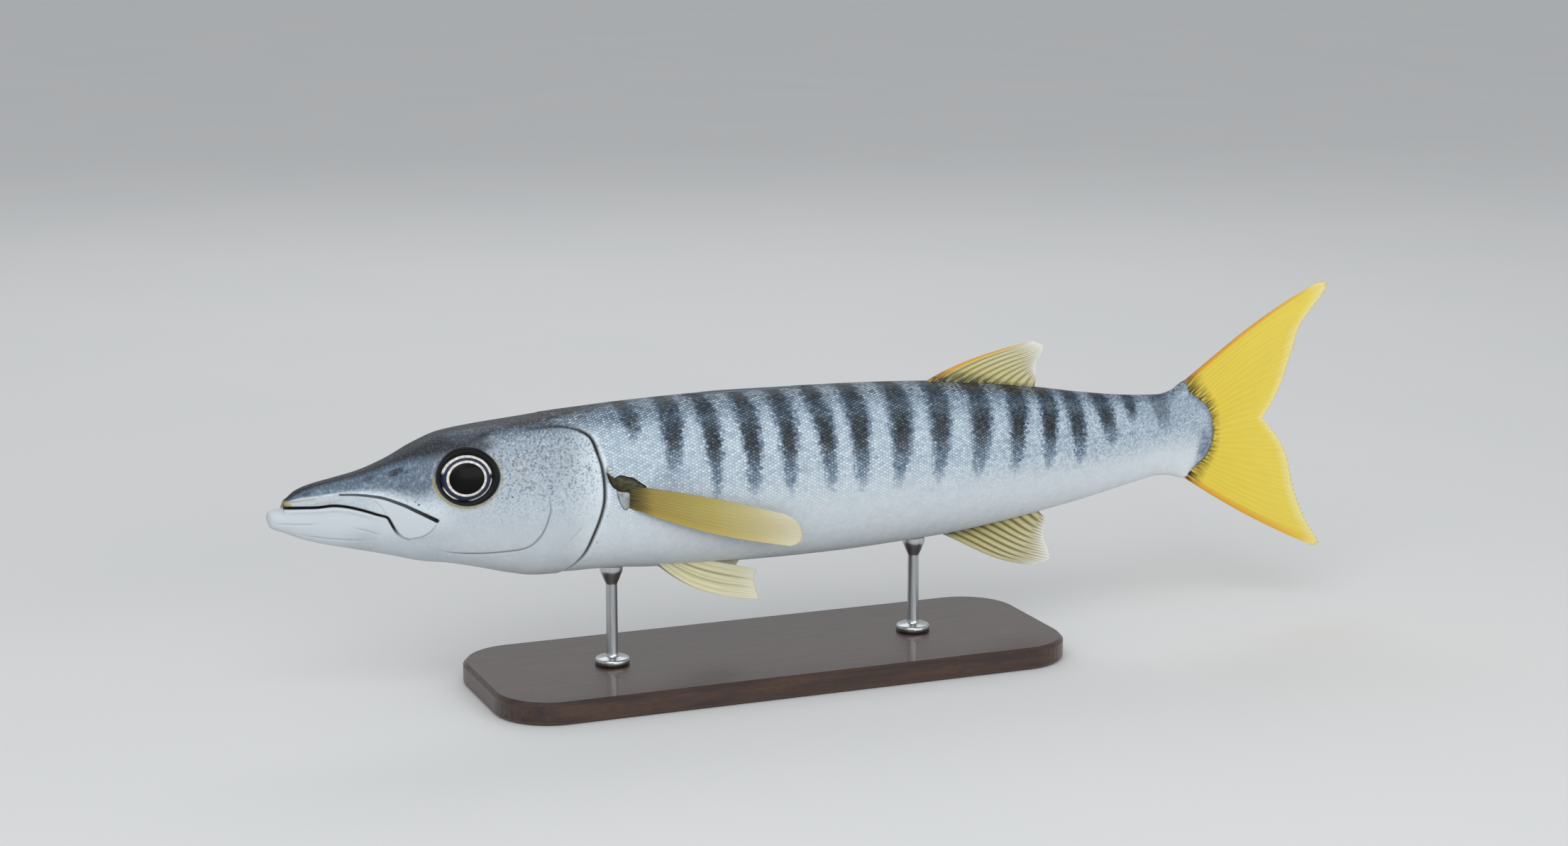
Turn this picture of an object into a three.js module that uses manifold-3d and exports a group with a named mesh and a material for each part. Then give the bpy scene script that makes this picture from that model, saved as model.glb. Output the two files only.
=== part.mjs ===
// A barracuda of the barred, yellow-tailed kind, life-size, held still on a display stand.
// Millimetres. The head points to -X, the left side to -Y and the back to +Z.
// A place on the fish is given by s, the distance behind the tip of the lower jaw,
// and by z, the height above the level of the fork of the tail.

import * as THREE from "three";
import { LoftGeometry } from "three/addons/geometries/LoftGeometry.js";
import { mergeVertices } from "three/addons/utils/BufferGeometryUtils.js";
import Module from "manifold-3d";

const wasm = await Module();
wasm.setup();

// Main sizes
const TOTAL_LENGTH = 800;
const AXIS_HEIGHT = 150;
const GAP = 0.3;
const SLIVER = 0.04;
const REACH = 90;
const AHEAD = -20;

// Body outline, [s, height] seen from the side and [s, half width] seen from above
const BACK = [
  [0, -8], [1, -6], [2.2, -5.3], [5, -5], [9.6, -5], [10.6, -1.6], [13, 1.6], [20, 7],
  [30, 10.3], [45, 13.2], [60, 16.2], [80, 22.9], [100, 32.2], [118, 38.3], [140, 41.2],
  [170, 43.8], [200, 46.5], [250, 49.3], [310, 50.7], [360, 50.5], [420, 49.3], [480, 46.4],
  [520, 42.2], [560, 36.3], [600, 29.6], [640, 25], [658, 24.2], [668, 26.4], [680, 33.5], [706, 44],
];
const BELLY = [
  [0, -11], [1, -15], [2.2, -16.8], [6, -18.8], [12, -21.2], [20, -25], [35, -30],
  [60, -36.4], [80, -41.6], [100, -47.2], [120, -50.6], [140, -55.5], [165, -61.8],
  [185, -63.7], [230, -64.2], [260, -66.4], [310, -67.8], [360, -68.6], [400, -68.2], [440, -66.6],
  [480, -64.4], [520, -60.2], [560, -54.6], [600, -47.8], [640, -39.8], [658, -36.8],
  [668, -37.6], [682, -41.4], [706, -52],
];
const HALF_WIDTH = [
  [0, 2], [1, 4], [2.2, 5.6], [6, 7.2], [12, 8.4], [30, 11.5], [60, 16.5], [80, 20],
  [100, 24], [118, 27.2], [140, 29.6], [165, 32], [200, 35.5], [232, 38], [300, 41],
  [400, 41.5], [480, 37.5], [540, 30.5], [600, 21], [640, 14], [670, 9], [690, 5.6], [706, 3],
];
const WIDEST_LEVEL = [[0, -10], [12, -10], [24, -8], [150, -8], [300, -7], [706, -6]];
const UPPER_FULLNESS = [[0, 2], [60, 2.2], [110, 2.7], [150, 2.6], [220, 2.3], [400, 2.15], [706, 2]];
const LOWER_FULLNESS = [[0, 2.2], [60, 2.3], [150, 2.3], [250, 2.2], [706, 2]];
const BODY_END = 706;

// Rings of the body, finer towards the jaw tip and on the head
const NOSE_RINGS = [0, 1, 2.2, 5, 9.6, 10.6, 12, 15];
const HEAD_STEP = 6;
const HEAD_RINGS_END = 225;
const TRUNK_STEP = 16;
const ABOVE_MOUTH_STEPS = 8;
const BELOW_MOUTH_STEPS = 7;

// Mouth, from before the snout back to its corner and down behind the lower jaw
const MOUTH_LINE = [
  [-6, -4], [9, -4], [26, -3.9], [41, -2.8], [56, -4.9], [66, -8.3], [74, -11.6], [77, -15.6],
  [80.6, -22], [84, -25.6], [89.5, -28.6],
];
const JAW_HINGE_LINE = [[96, -31.5], [104, -37], [109, -44], [111, -62]];
const MOUTH_GAP = 0.6;
const MOUTH_COLUMN = [
  [-6, -4], [41, -3], [56, -4.9], [66, -8.3], [77, -15.6], [89.5, -27], [110, -26],
  [150, -14], [220, -8], [706, -6],
];
const LIP_SPREAD = [[0, 1.8], [12, 2.3], [90, 2.4], [150, 6], [400, 9], [600, 6], [660, 5], [706, 6]];
const LIP_RISE = 1.1;
const LIP_WIDTH = 1.6;
const LIP_FRONT = [6, 14];
const LIP_REAR = [58, 76];

// Upper jaw blade and gill cover, raised plates with these outlines from the side
const MAXILLA_TOP = [[46, 4.2], [56.7, 4.2], [72.5, 1.1], [83.6, -3.3], [95.2, -10.1], [106.6, -16.5]];
const MAXILLA_END = [[108, -19.5], [103.5, -23.5], [97, -27.5]];
const MAXILLA_FRONT = [46, -3.1];
const MAXILLA_RISE = 0.8;
const MAXILLA_DEPTH = 2.6;
const COVER_FRONT = [
  [170, 38.4], [176.5, 22], [180.6, 1.3], [182.2, -10.4], [180.2, -23.8], [175.3, -33],
  [169, -38.5], [163, -46], [159, -56], [157, -70],
];
const GILL_OPENING = [
  [206, 36.2], [212, 31.4], [215.2, 23.3], [217.6, 13], [218.8, 2], [218.4, -10], [215.6, -21.7],
  [211.9, -34], [207, -45], [200, -57], [195, -70],
];
const NAPE = [[196, 80], [200, 58], [203.6, 45]];
const THROAT = [[192, -90]];
const COVER_RISE = 0.9;
const COVER_DEPTH = 3.4;
const ISTHMUS_HALF_WIDTH = 6;
const CHEEK_GROOVE = [[112, -40], [122, -41.4], [134, -42], [150, -42], [160, -41.2], [171, -38]];
const CHEEK_GROOVE_WIDTH = 0.7;
const CHEEK_GROOVE_DEPTH = 0.9;

// Eyes and nostrils
const EYE_PLACE = { s: 126.8, z: 11.4 };
const EYE_RADIUS = 17.6;
const EYE_HEIGHT_RATIO = 0.885;
const EYE_DOME = 3.6;
const EYE_DOME_EDGE = -1.4;
const SOCKET_REACH = 9;
const EYE_DEPTH = 12;
const EYE_SIDES = 24;
const RIM_WIDTH = 3.2;
const RIM_LEVEL = -0.1;
const RIM_SINK = 7;
const NOSTRILS = [
  { s: 82.5, z: 15.6, length: 1.7, height: 1.3 },
  { s: 88.4, z: 16.8, length: 2.1, height: 1.2 },
];
const NOSTRIL_DEPTH = 1.4;

// Lengths into which the body is parted
const TRUNK_SPLIT = 400;
const STALK_SPLIT = 590;
const FLESH_END = [
  [679.5, 70], [680.4, 34], [681.8, 26.8], [690, 22], [698.3, 16], [703, 6], [704.6, -8],
  [703.5, -20], [697.5, -29.5], [690, -34.2], [684.4, -38], [682.9, -41.3], [682.5, -80],
];

// First dorsal fin, folded down in its groove
const FIRST_DORSAL = { start: 286, end: 376, rise: 2, depth: 3, half: 1.7, steps: 10 };
const FIRST_DORSAL_SPINES = 5;
const GROOVE_HALF = 2.3;

// Fins that stand in the middle plane, rooted between two places and reaching to an edge
const SECOND_DORSAL = {
  rays: 10, rows: 6, sink: 6,
  root: [[474, 46.6], [500, 44.6], [530, 40.6], [556, 36.6]],
  edge: [[556, 70.6], [563.6, 66.8], [562, 60], [558, 53.6], [557.4, 44.5]],
  bow: 4.2, bowAt: 0.42,
  rootHalf: 2.2, edgeHalf: 0.3,
};
const ANAL = {
  rays: 11, rows: 6, sink: 6,
  root: [[483, -64.2], [510, -61.6], [540, -57.4], [560, -54]],
  edge: [[560, -95.4], [571.6, -92.6], [570.8, -84.9], [567, -75], [567, -61]],
  bow: -4.4, bowAt: 0.62,
  rootHalf: 2.2, edgeHalf: 0.3,
};
const CAUDAL_UPPER = {
  rays: 10, rows: 8, sink: 6,
  root: [[680, 31.5], [684, 25], [699, 15.5], [703, 6], [704.6, -5.6]],
  edge: [
    [791, 99.4], [798.4, 99.6], [799, 94.8], [790.4, 84.2], [777.6, 68.4], [772.8, 53.1], [765, 29.4],
    [757, 13.3], [747.4, 0.2],
  ],
  bow: 4, bowAt: 0.56,
  rootHalf: 2.4, edgeHalf: 0.35,
};
const CAUDAL_LOWER = {
  rays: 10, rows: 8, sink: 6,
  root: [[682.9, -40.6], [688, -35], [698, -28], [703.5, -18], [704.6, -6.4]],
  edge: [
    [794.4, -102.8], [799.8, -103], [800, -98.8], [787.6, -80.8], [777.4, -58], [771.4, -35.2],
    [763.6, -19.1], [747.4, -0.6],
  ],
  bow: -3, bowAt: 0.5,
  rootHalf: 2.4, edgeHalf: 0.35,
};
const RIDGE = 0.35;
const NOTCH = 0.022;

// Paired fins, given by their root and edge, top or inner ray first
const PECTORAL = {
  rays: 12,
  root: [[231, 0.6], [229, -3.4], [229, -9], [231.5, -13.2]],
  edge: [[345, -27.6], [353.5, -33], [358, -41.5], [357, -47.6], [350, -50.4]],
  bow: [2.4, -4.2],
  lift: [[0, -6], [0.07, 0.6], [0.16, 3.6], [0.4, 6.2], [1, 8.6]],
  rowsAt: [0, 0.07, 0.16, 0.32, 0.52, 0.76, 1],
  rootHalf: 2.4, edgeHalf: 0.32,
};
const PELVIC = {
  rays: 7, rows: 6,
  root: [{ s: 276, y: 12, z: -57 }, { s: 259, y: 15, z: -57.6 }],
  edge: [{ s: 336, y: 16, z: -73 }, { s: 333.4, y: 18, z: -80 }, { s: 336, y: 21, z: -93 }],
  bow: -9.6, bowAt: 0.42,
  rootHalf: 2.2, edgeHalf: 0.32,
};

// Display stand
const BASE = { length: 420, width: 150, height: 16, corner: 40, chamfer: 2.5, centre: -50 };
const RODS = [{ name: "stand_rod_front", x: -165 }, { name: "stand_rod_rear", x: 62 }];
const ROD = { radius: 4, foot: 12, footHeight: 5, cup: 8, cupHeight: 12, sides: 20 };

// Finishes
const FINISH = {
  back: new THREE.MeshStandardMaterial({ color: 0x9fb2c0, roughness: 0.38, metalness: 0.25 }),
  head: new THREE.MeshStandardMaterial({ color: 0xb4c3cd, roughness: 0.34, metalness: 0.25 }),
  jaw: new THREE.MeshStandardMaterial({ color: 0xd6dadb, roughness: 0.4, metalness: 0.1 }),
  eye: new THREE.MeshStandardMaterial({ color: 0x0c0d10, roughness: 0.08, metalness: 0 }),
  paleFin: new THREE.MeshStandardMaterial({ color: 0xcfc79a, roughness: 0.5, metalness: 0 }),
  pectoral: new THREE.MeshStandardMaterial({ color: 0xc2b36a, roughness: 0.5, metalness: 0 }),
  tail: new THREE.MeshStandardMaterial({ color: 0xe3cd55, roughness: 0.48, metalness: 0 }),
  base: new THREE.MeshStandardMaterial({ color: 0x2b2724, roughness: 0.45, metalness: 0 }),
  rod: new THREE.MeshStandardMaterial({ color: 0xb4b6b8, roughness: 0.3, metalness: 1 }),
};

// Where s and z lie in the frame
const xOf = (s) => s - TOTAL_LENGTH / 2;
const zOf = (z) => z + AXIS_HEIGHT;

// A smooth curve through [place, value] stations that never swings past them
function curveThrough(stations) {
  const last = stations.length - 1;
  const slopes = [];
  for (let i = 0; i < last; i += 1) {
    slopes.push((stations[i + 1][1] - stations[i][1]) / (stations[i + 1][0] - stations[i][0]));
  }
  const tangents = stations.map((_, i) => {
    const before = slopes[Math.max(i - 1, 0)];
    const after = slopes[Math.min(i, last - 1)];
    return before * after <= 0 ? 0 : (2 * before * after) / (before + after);
  });
  return (place) => {
    const at = THREE.MathUtils.clamp(place, stations[0][0], stations[last][0]);
    let i = 0;
    while (i < last - 1 && at > stations[i + 1][0]) {
      i += 1;
    }
    const width = stations[i + 1][0] - stations[i][0];
    const t = (at - stations[i][0]) / width;
    const rest = 1 - t;
    return (
      (1 + 2 * t) * rest * rest * stations[i][1] +
      t * rest * rest * width * tangents[i] +
      t * t * (3 - 2 * t) * stations[i + 1][1] -
      t * t * rest * width * tangents[i + 1]
    );
  };
}

const back = curveThrough(BACK);
const belly = curveThrough(BELLY);
const halfWidth = curveThrough(HALF_WIDTH);
const widestLevel = curveThrough(WIDEST_LEVEL);
const upperFullness = curveThrough(UPPER_FULLNESS);
const lowerFullness = curveThrough(LOWER_FULLNESS);
const mouthColumn = curveThrough(MOUTH_COLUMN);
const lipSpread = curveThrough(LIP_SPREAD);

// Half of the body's height on the side of the widest level that z lies on, and its fullness there
function halfSection(s, above) {
  const level = widestLevel(s);
  return above
    ? { level, height: back(s) - level, power: upperFullness(s) }
    : { level, height: level - belly(s), power: lowerFullness(s) };
}

// Half width of the body at a height
function halfWidthAt(s, z) {
  const { level, height, power } = halfSection(s, z > widestLevel(s));
  const part = Math.min(Math.abs(z - level) / height, 1);
  return halfWidth(s) * (1 - part ** power) ** (1 / power);
}

// Angle from the back, down the left side, at which the section reaches a height
function angleAt(s, z) {
  const { level, height, power } = halfSection(s, z > widestLevel(s));
  const part = THREE.MathUtils.clamp((z - level) / height, -1, 1);
  return Math.acos(Math.sign(part) * Math.abs(part) ** (power / 2));
}

// How far the lips stand out at a height
function lipRise(s, z) {
  const along =
    THREE.MathUtils.smoothstep(s, LIP_FRONT[0], LIP_FRONT[1]) *
    (1 - THREE.MathUtils.smoothstep(s, LIP_REAR[0], LIP_REAR[1]));
  const away = (Math.abs(z - mouthColumn(s)) - lipSpread(s)) / LIP_WIDTH;
  return LIP_RISE * along * Math.exp(-away * away);
}

// A point of the body's surface, moved out by grow
function bodyPoint(s, angle, grow) {
  const up = Math.cos(angle);
  const across = Math.sin(angle);
  const { level, height, power } = halfSection(s, up > 0);
  const half = halfWidth(s);
  const rise = Math.sign(up) * Math.abs(up) ** (2 / power);
  const side = Math.sign(across) * Math.abs(across) ** (2 / power);
  const z = level + rise * height;
  const normal = new THREE.Vector2(
    (Math.sign(side) * Math.abs(side) ** (power - 1)) / half,
    (Math.sign(rise) * Math.abs(rise) ** (power - 1)) / height,
  ).normalize();
  const out = grow + lipRise(s, z);
  return new THREE.Vector3(xOf(s), -(half * side + normal.x * out), zOf(z + normal.y * out));
}

// Angles of one ring, with columns on the lips and on the mouth line between them
function ringAngles(s) {
  const lipTop = Math.max(angleAt(s, mouthColumn(s) + lipSpread(s)), 0.3);
  const mouth = Math.max(angleAt(s, mouthColumn(s)), 0.46);
  const lipBottom = Math.max(angleAt(s, mouthColumn(s) - lipSpread(s)), 0.62);
  const left = [];
  for (let i = 0; i < ABOVE_MOUTH_STEPS; i += 1) {
    left.push((lipTop * i) / ABOVE_MOUTH_STEPS);
  }
  left.push(lipTop, mouth);
  for (let i = 0; i <= BELOW_MOUTH_STEPS; i += 1) {
    left.push(lipBottom + ((Math.PI - lipBottom) * i) / BELOW_MOUTH_STEPS);
  }
  const right = left.slice(1, -1).reverse();
  return [...left, ...right.map((angle) => 2 * Math.PI - angle)];
}

// Places of the rings between two ends
function ringPlaces(from, to) {
  const places = [...NOSE_RINGS];
  for (let s = NOSE_RINGS.at(-1) + HEAD_STEP; s < HEAD_RINGS_END; s += HEAD_STEP) {
    places.push(s);
  }
  for (let s = HEAD_RINGS_END; s < BODY_END; s += TRUNK_STEP) {
    places.push(s);
  }
  const between = places.filter((s) => s > from + 1 && s < to - 1);
  return [from, ...between, to];
}

// The body between two places, grown or shrunk all round
function bodySolid(grow, from = 0, to = BODY_END) {
  const rings = ringPlaces(from, to).map((s) => ringAngles(s).map((angle) => bodyPoint(s, angle, grow)));
  return solidOf(new LoftGeometry(rings, { capStart: true, capEnd: true }));
}

// Joining and cutting
function solidOf(geometry) {
  const plain = new THREE.BufferGeometry();
  plain.setAttribute("position", geometry.attributes.position);
  plain.setIndex(geometry.index);
  const merged = mergeVertices(plain, 1e-4);
  const mesh = new wasm.Mesh({
    numProp: 3,
    vertProperties: new Float32Array(merged.attributes.position.array),
    triVerts: new Uint32Array(merged.index.array),
  });
  return new wasm.Manifold(mesh);
}

// The largest closed surface of a solid, with slivers smoothed away
function geometryOf(solid) {
  const bodies = solid.simplify(SLIVER).decompose();
  const largest = bodies.reduce((best, body) => (body.volume() > best.volume() ? body : best));
  const mesh = largest.getMesh();
  const geometry = new THREE.BufferGeometry();
  geometry.setAttribute("position", new THREE.BufferAttribute(mesh.vertProperties, 3));
  geometry.setIndex(new THREE.BufferAttribute(mesh.triVerts, 1));
  geometry.computeVertexNormals();
  return geometry;
}

// The same shape on the other side of the fish
function mirrored(geometry) {
  const other = geometry.clone();
  other.scale(1, -1, 1);
  const index = other.index.array;
  for (let i = 0; i < index.length; i += 3) {
    [index[i], index[i + 1]] = [index[i + 1], index[i]];
  }
  return other;
}

// Flat outlines, [s, z], as solids that reach across the fish from y = near to y = far
function plateSolid(outline, near, far) {
  const shape = new THREE.Shape(outline.map(([s, z]) => new THREE.Vector2(xOf(s), zOf(z))));
  const geometry = new THREE.ExtrudeGeometry(shape, { depth: far - near, bevelEnabled: false });
  geometry.rotateX(Math.PI / 2);
  geometry.translate(0, far, 0);
  return solidOf(geometry);
}

// The left normal of a line at one of its points
function normalAt(points, i, closed) {
  const count = points.length;
  const before = closed ? points[(i + count - 1) % count] : points[Math.max(i - 1, 0)];
  const after = closed ? points[(i + 1) % count] : points[Math.min(i + 1, count - 1)];
  return new THREE.Vector2(before[1] - after[1], after[0] - before[0]).normalize();
}

// An open or closed line moved sideways
function movedLine(points, distance, closed) {
  return points.map(([s, z], i) => {
    const normal = normalAt(points, i, closed);
    return [s + normal.x * distance, z + normal.y * distance];
  });
}

// A thin wall that follows a line, right through the fish
function seamWall(line, width) {
  const one = movedLine(line, width / 2, false);
  const other = movedLine(line, -width / 2, false).reverse();
  return plateSolid([...one, ...other], -REACH, REACH);
}

// A plate raised on the left side: its solid, and the pocket that it sits in
function raisedPlate(outline, inner, rise, depth) {
  const places = outline.map(([s]) => s);
  const from = Math.min(...places) - 4;
  const to = Math.max(...places) + 4;
  const core = bodySolid(-depth, from, to);
  const clearCore = bodySolid(-depth - GAP, from, to);
  const small = plateSolid(movedLine(outline, -GAP / 2, true), -REACH, -inner - GAP / 2);
  const large = plateSolid(movedLine(outline, GAP / 2, true), -REACH, -inner + GAP / 2);
  return {
    plate: small.intersect(bodySolid(rise, from, to)).subtract(core),
    pocket: large.subtract(clearCore),
  };
}

function bothSides(solid) {
  return solid.add(solidOf(mirrored(geometryOf(solid))));
}

// Raised plates of the head
function maxilla() {
  const lower = MOUTH_LINE.filter(([s]) => s > MAXILLA_FRONT[0]).toReversed();
  const outline = [...MAXILLA_TOP, ...MAXILLA_END, ...lower, MAXILLA_FRONT];
  return raisedPlate(outline, 0, MAXILLA_RISE, MAXILLA_DEPTH);
}

function gillCover() {
  const outline = [...COVER_FRONT.toReversed(), ...GILL_OPENING];
  return raisedPlate(outline, ISTHMUS_HALF_WIDTH, COVER_RISE, COVER_DEPTH);
}

// Frame of the left eye, its axis square to the cheek
function eyeFrame() {
  const { s, z } = EYE_PLACE;
  const slopeS = (halfWidthAt(s + 8, z) - halfWidthAt(s - 8, z)) / 16;
  const slopeZ = (halfWidthAt(s, z + 8) - halfWidthAt(s, z - 8)) / 16;
  const out = new THREE.Vector3(-slopeS, -1, -slopeZ).normalize();
  const along = new THREE.Vector3(1, 0, 0).addScaledVector(out, -out.x).normalize();
  const up = new THREE.Vector3().crossVectors(along, out);
  const place = new THREE.Vector3(xOf(s), -halfWidthAt(s, z), zOf(z));
  return { place, out, along, up };
}

// The eyeball, a domed disc turned about its own Y axis, and the socket that it sits in
function eyeGeometry(profile) {
  const geometry = new THREE.LatheGeometry(profile.map(([r, y]) => new THREE.Vector2(r, y)), EYE_SIDES);
  geometry.scale(1, 1, EYE_HEIGHT_RATIO);
  return geometry;
}

function eyeBackProfile(grow) {
  const radius = EYE_RADIUS + grow;
  const floor = -EYE_DEPTH - grow;
  return [[0, floor], [radius * 0.55, floor], [radius * 0.86, floor * 0.6], [radius, floor * 0.2]];
}

function eyeballGeometry() {
  const dome = [1, 0.93, 0.78, 0.55, 0.28, 0].map((part) => [
    EYE_RADIUS * part,
    EYE_DOME_EDGE + (EYE_DOME - EYE_DOME_EDGE) * Math.sqrt(1 - part ** 2),
  ]);
  return eyeGeometry([...eyeBackProfile(0), ...dome]);
}

function socketGeometry() {
  const radius = EYE_RADIUS + GAP * 1.3;
  return eyeGeometry([...eyeBackProfile(GAP * 1.3), [radius, SOCKET_REACH], [0, SOCKET_REACH]]);
}

function eyeMatrix() {
  const { place, out, along, up } = eyeFrame();
  return new THREE.Matrix4().makeBasis(along, out, up).setPosition(place);
}

// The rim of skin round the eye, a ring sunk in the cheek
function eyeRimGeometry() {
  const inner = EYE_RADIUS - RIM_WIDTH;
  const outer = EYE_RADIUS + RIM_WIDTH;
  return eyeGeometry([
    [inner, -RIM_SINK], [outer, -RIM_SINK], [outer, RIM_LEVEL - 1], [outer - 0.9, RIM_LEVEL - 0.2],
    [outer - 2, RIM_LEVEL], [inner, RIM_LEVEL], [inner, -RIM_SINK],
  ]);
}

function nostrilPits() {
  return NOSTRILS.map(({ s, z, length, height }) => {
    const pit = new THREE.SphereGeometry(1, 10, 8);
    pit.scale(length, NOSTRIL_DEPTH, height);
    pit.translate(xOf(s), -halfWidthAt(s, z), zOf(z));
    return solidOf(pit);
  });
}

// Fins

// A thin sheet whose thickness goes up on the rays and down between them, closed at its edges
function finGeometry(columns, rows, place, normal, thickness) {
  const points = [];
  for (const side of [1, -1]) {
    for (let c = 0; c <= columns; c += 1) {
      for (let r = 0; r <= rows; r += 1) {
        const point = place(c, r).clone();
        points.push(point.addScaledVector(normal(c, r), (side * thickness(c, r)) / 2));
      }
    }
  }
  const at = (side, c, r) => side * (columns + 1) * (rows + 1) + c * (rows + 1) + r;
  const index = [];
  const quad = (a, b, c, d) => index.push(a, b, c, a, c, d);
  for (let c = 0; c < columns; c += 1) {
    for (let r = 0; r < rows; r += 1) {
      quad(at(0, c, r), at(0, c + 1, r), at(0, c + 1, r + 1), at(0, c, r + 1));
      index.push(at(1, c, r), at(1, c + 1, r + 1), at(1, c + 1, r));
      index.push(at(1, c, r), at(1, c, r + 1), at(1, c + 1, r + 1));
    }
    quad(at(1, c, 0), at(1, c + 1, 0), at(0, c + 1, 0), at(0, c, 0));
    quad(at(0, c, rows), at(0, c + 1, rows), at(1, c + 1, rows), at(1, c, rows));
  }
  for (let r = 0; r < rows; r += 1) {
    quad(at(0, 0, r), at(0, 0, r + 1), at(1, 0, r + 1), at(1, 0, r));
    quad(at(1, columns, r), at(1, columns, r + 1), at(0, columns, r + 1), at(0, columns, r));
  }
  const geometry = new THREE.BufferGeometry();
  geometry.setAttribute("position", new THREE.Float32BufferAttribute(points.flatMap((p) => p.toArray()), 3));
  geometry.setIndex(index);
  return geometry;
}

// Thickness of a fin, from its root to its edge, on a ray or between two
function finThickness(fin, column, v) {
  const half = THREE.MathUtils.lerp(fin.edgeHalf, fin.rootHalf, (1 - v) ** 3);
  const ridge = column % 2 === 0 ? RIDGE * (1 - 0.6 * v) : 0;
  return 2 * (half + ridge);
}

// Turns a solid right side out if its faces point in
function outward(geometry) {
  const solid = solidOf(geometry);
  if (solid.volume() > 0) {
    return solid;
  }
  const flipped = geometry.clone();
  const index = flipped.index.array;
  for (let i = 0; i < index.length; i += 3) {
    [index[i], index[i + 1]] = [index[i + 1], index[i]];
  }
  return solidOf(flipped);
}

// The power that puts the widest part of a fin's bow at the share bowAt of its rays
function bowPower(fin) {
  return Math.log(0.5) / Math.log(fin.bowAt);
}

// A fin in the middle plane, its rays drawn from root to edge and bowed sideways by bow,
// most at the share bowAt of their length
function middleFin(fin) {
  const root = new THREE.SplineCurve(fin.root.map(([s, z]) => new THREE.Vector2(s, z)));
  const edge = new THREE.SplineCurve(fin.edge.map(([s, z]) => new THREE.Vector2(s, z)));
  const columns = 2 * fin.rays - 2;
  const power = bowPower(fin);
  const place = (column, row) => {
    const u = column / columns;
    const v = row / fin.rows;
    const reach = column % 2 === 0 ? v : v * (1 - NOTCH);
    const from = root.getPointAt(u);
    const to = edge.getPointAt(u);
    const along = to.clone().sub(from);
    const length = along.length();
    const start = from.addScaledVector(along.normalize(), -fin.sink);
    const point = start.addScaledVector(along, (length + fin.sink) * reach);
    const bow = fin.bow * (1 - u) ** 0.7 * Math.sin(Math.PI * reach ** power);
    return new THREE.Vector3(xOf(point.x - along.y * bow), 0, zOf(point.y + along.x * bow));
  };
  const normal = () => new THREE.Vector3(0, 1, 0);
  const thickness = (column, row) => finThickness(fin, column, row / fin.rows);
  return outward(finGeometry(columns, fin.rows, place, normal, thickness));
}

// The normal of a curved fin, from the places next to a point
function sheetNormal(place, columns, rows) {
  return (c, r) => {
    const across = place(Math.min(c + 1, columns), r).clone().sub(place(Math.max(c - 1, 0), r));
    const along = place(c, Math.min(r + 1, rows)).clone().sub(place(c, Math.max(r - 1, 0)));
    return across.cross(along).normalize();
  };
}

function pectoralFin() {
  const root = new THREE.SplineCurve(PECTORAL.root.map(([s, z]) => new THREE.Vector2(s, z)));
  const edge = new THREE.SplineCurve(PECTORAL.edge.map(([s, z]) => new THREE.Vector2(s, z)));
  const lift = curveThrough(PECTORAL.lift);
  const columns = 2 * PECTORAL.rays - 2;
  const rows = PECTORAL.rowsAt.length - 1;
  const place = (column, row) => {
    const u = column / columns;
    const v = PECTORAL.rowsAt[row] * (column % 2 === 0 ? 1 : 1 - NOTCH / 2);
    const point = root.getPointAt(u).lerp(edge.getPointAt(u), v);
    const bow = THREE.MathUtils.lerp(PECTORAL.bow[0], PECTORAL.bow[1], u) * Math.sin(Math.PI * v);
    const z = point.y + bow;
    const flank = halfWidthAt(point.x, widestLevel(point.x) + 0.4 * (z - widestLevel(point.x)));
    return new THREE.Vector3(xOf(point.x), -(flank + lift(v)), zOf(z));
  };
  const thickness = (column, row) => finThickness(PECTORAL, column, PECTORAL.rowsAt[row]);
  const normal = sheetNormal(place, columns, rows);
  return outward(finGeometry(columns, rows, place, normal, thickness));
}

function pelvicFin() {
  const toPoint = ({ s, y, z }) => new THREE.Vector3(xOf(s), -y, zOf(z));
  const root = new THREE.CatmullRomCurve3(PELVIC.root.map(toPoint));
  const edge = new THREE.CatmullRomCurve3(PELVIC.edge.map(toPoint));
  const columns = 2 * PELVIC.rays - 2;
  const power = bowPower(PELVIC);
  const place = (column, row) => {
    const u = column / columns;
    const v = row / PELVIC.rows;
    const reach = column % 2 === 0 ? v : v * (1 - NOTCH);
    const point = root.getPointAt(u).lerp(edge.getPointAt(u), reach);
    point.z += PELVIC.bow * u * Math.sin(Math.PI * reach ** power);
    return point;
  };
  const thickness = (column, row) => finThickness(PELVIC, column, row / PELVIC.rows);
  const normal = sheetNormal(place, columns, PELVIC.rows);
  return outward(finGeometry(columns, PELVIC.rows, place, normal, thickness));
}

// The folded first dorsal fin: low, with its spines lying one over another, and the groove round it
function foldedFin() {
  const { start, end, rise, depth, half, steps } = FIRST_DORSAL;
  const columns = 2 * FIRST_DORSAL_SPINES;
  const place = (column, row) => {
    const s = THREE.MathUtils.lerp(start, end, row / steps);
    const swell = Math.sin(Math.PI * Math.min(row / steps / 0.3, 1) * 0.5) * (1 - (row / steps) ** 3);
    const top = back(s) + rise * swell;
    const z = THREE.MathUtils.lerp(back(s) - depth + GAP, top, column / columns);
    return new THREE.Vector3(xOf(s), 0, zOf(z));
  };
  const thickness = (column, row) => {
    const narrow = 1 - 0.55 * (column / columns) - 0.25 * (row / steps);
    return 2 * half * narrow * (column % 2 === 0 ? 0.72 : 1);
  };
  return outward(finGeometry(columns, steps, place, () => new THREE.Vector3(0, 1, 0), thickness));
}

function finGroove() {
  const { start, end, depth } = FIRST_DORSAL;
  const floor = [];
  for (let s = start - 1; s <= end + 1; s += 8) {
    floor.push([s, back(s) - depth]);
  }
  const outline = [...floor, [end + 1, back(end) - depth], [end + 1, REACH], [start - 1, REACH]];
  return plateSolid(outline, -GROOVE_HALF, GROOVE_HALF);
}

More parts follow.
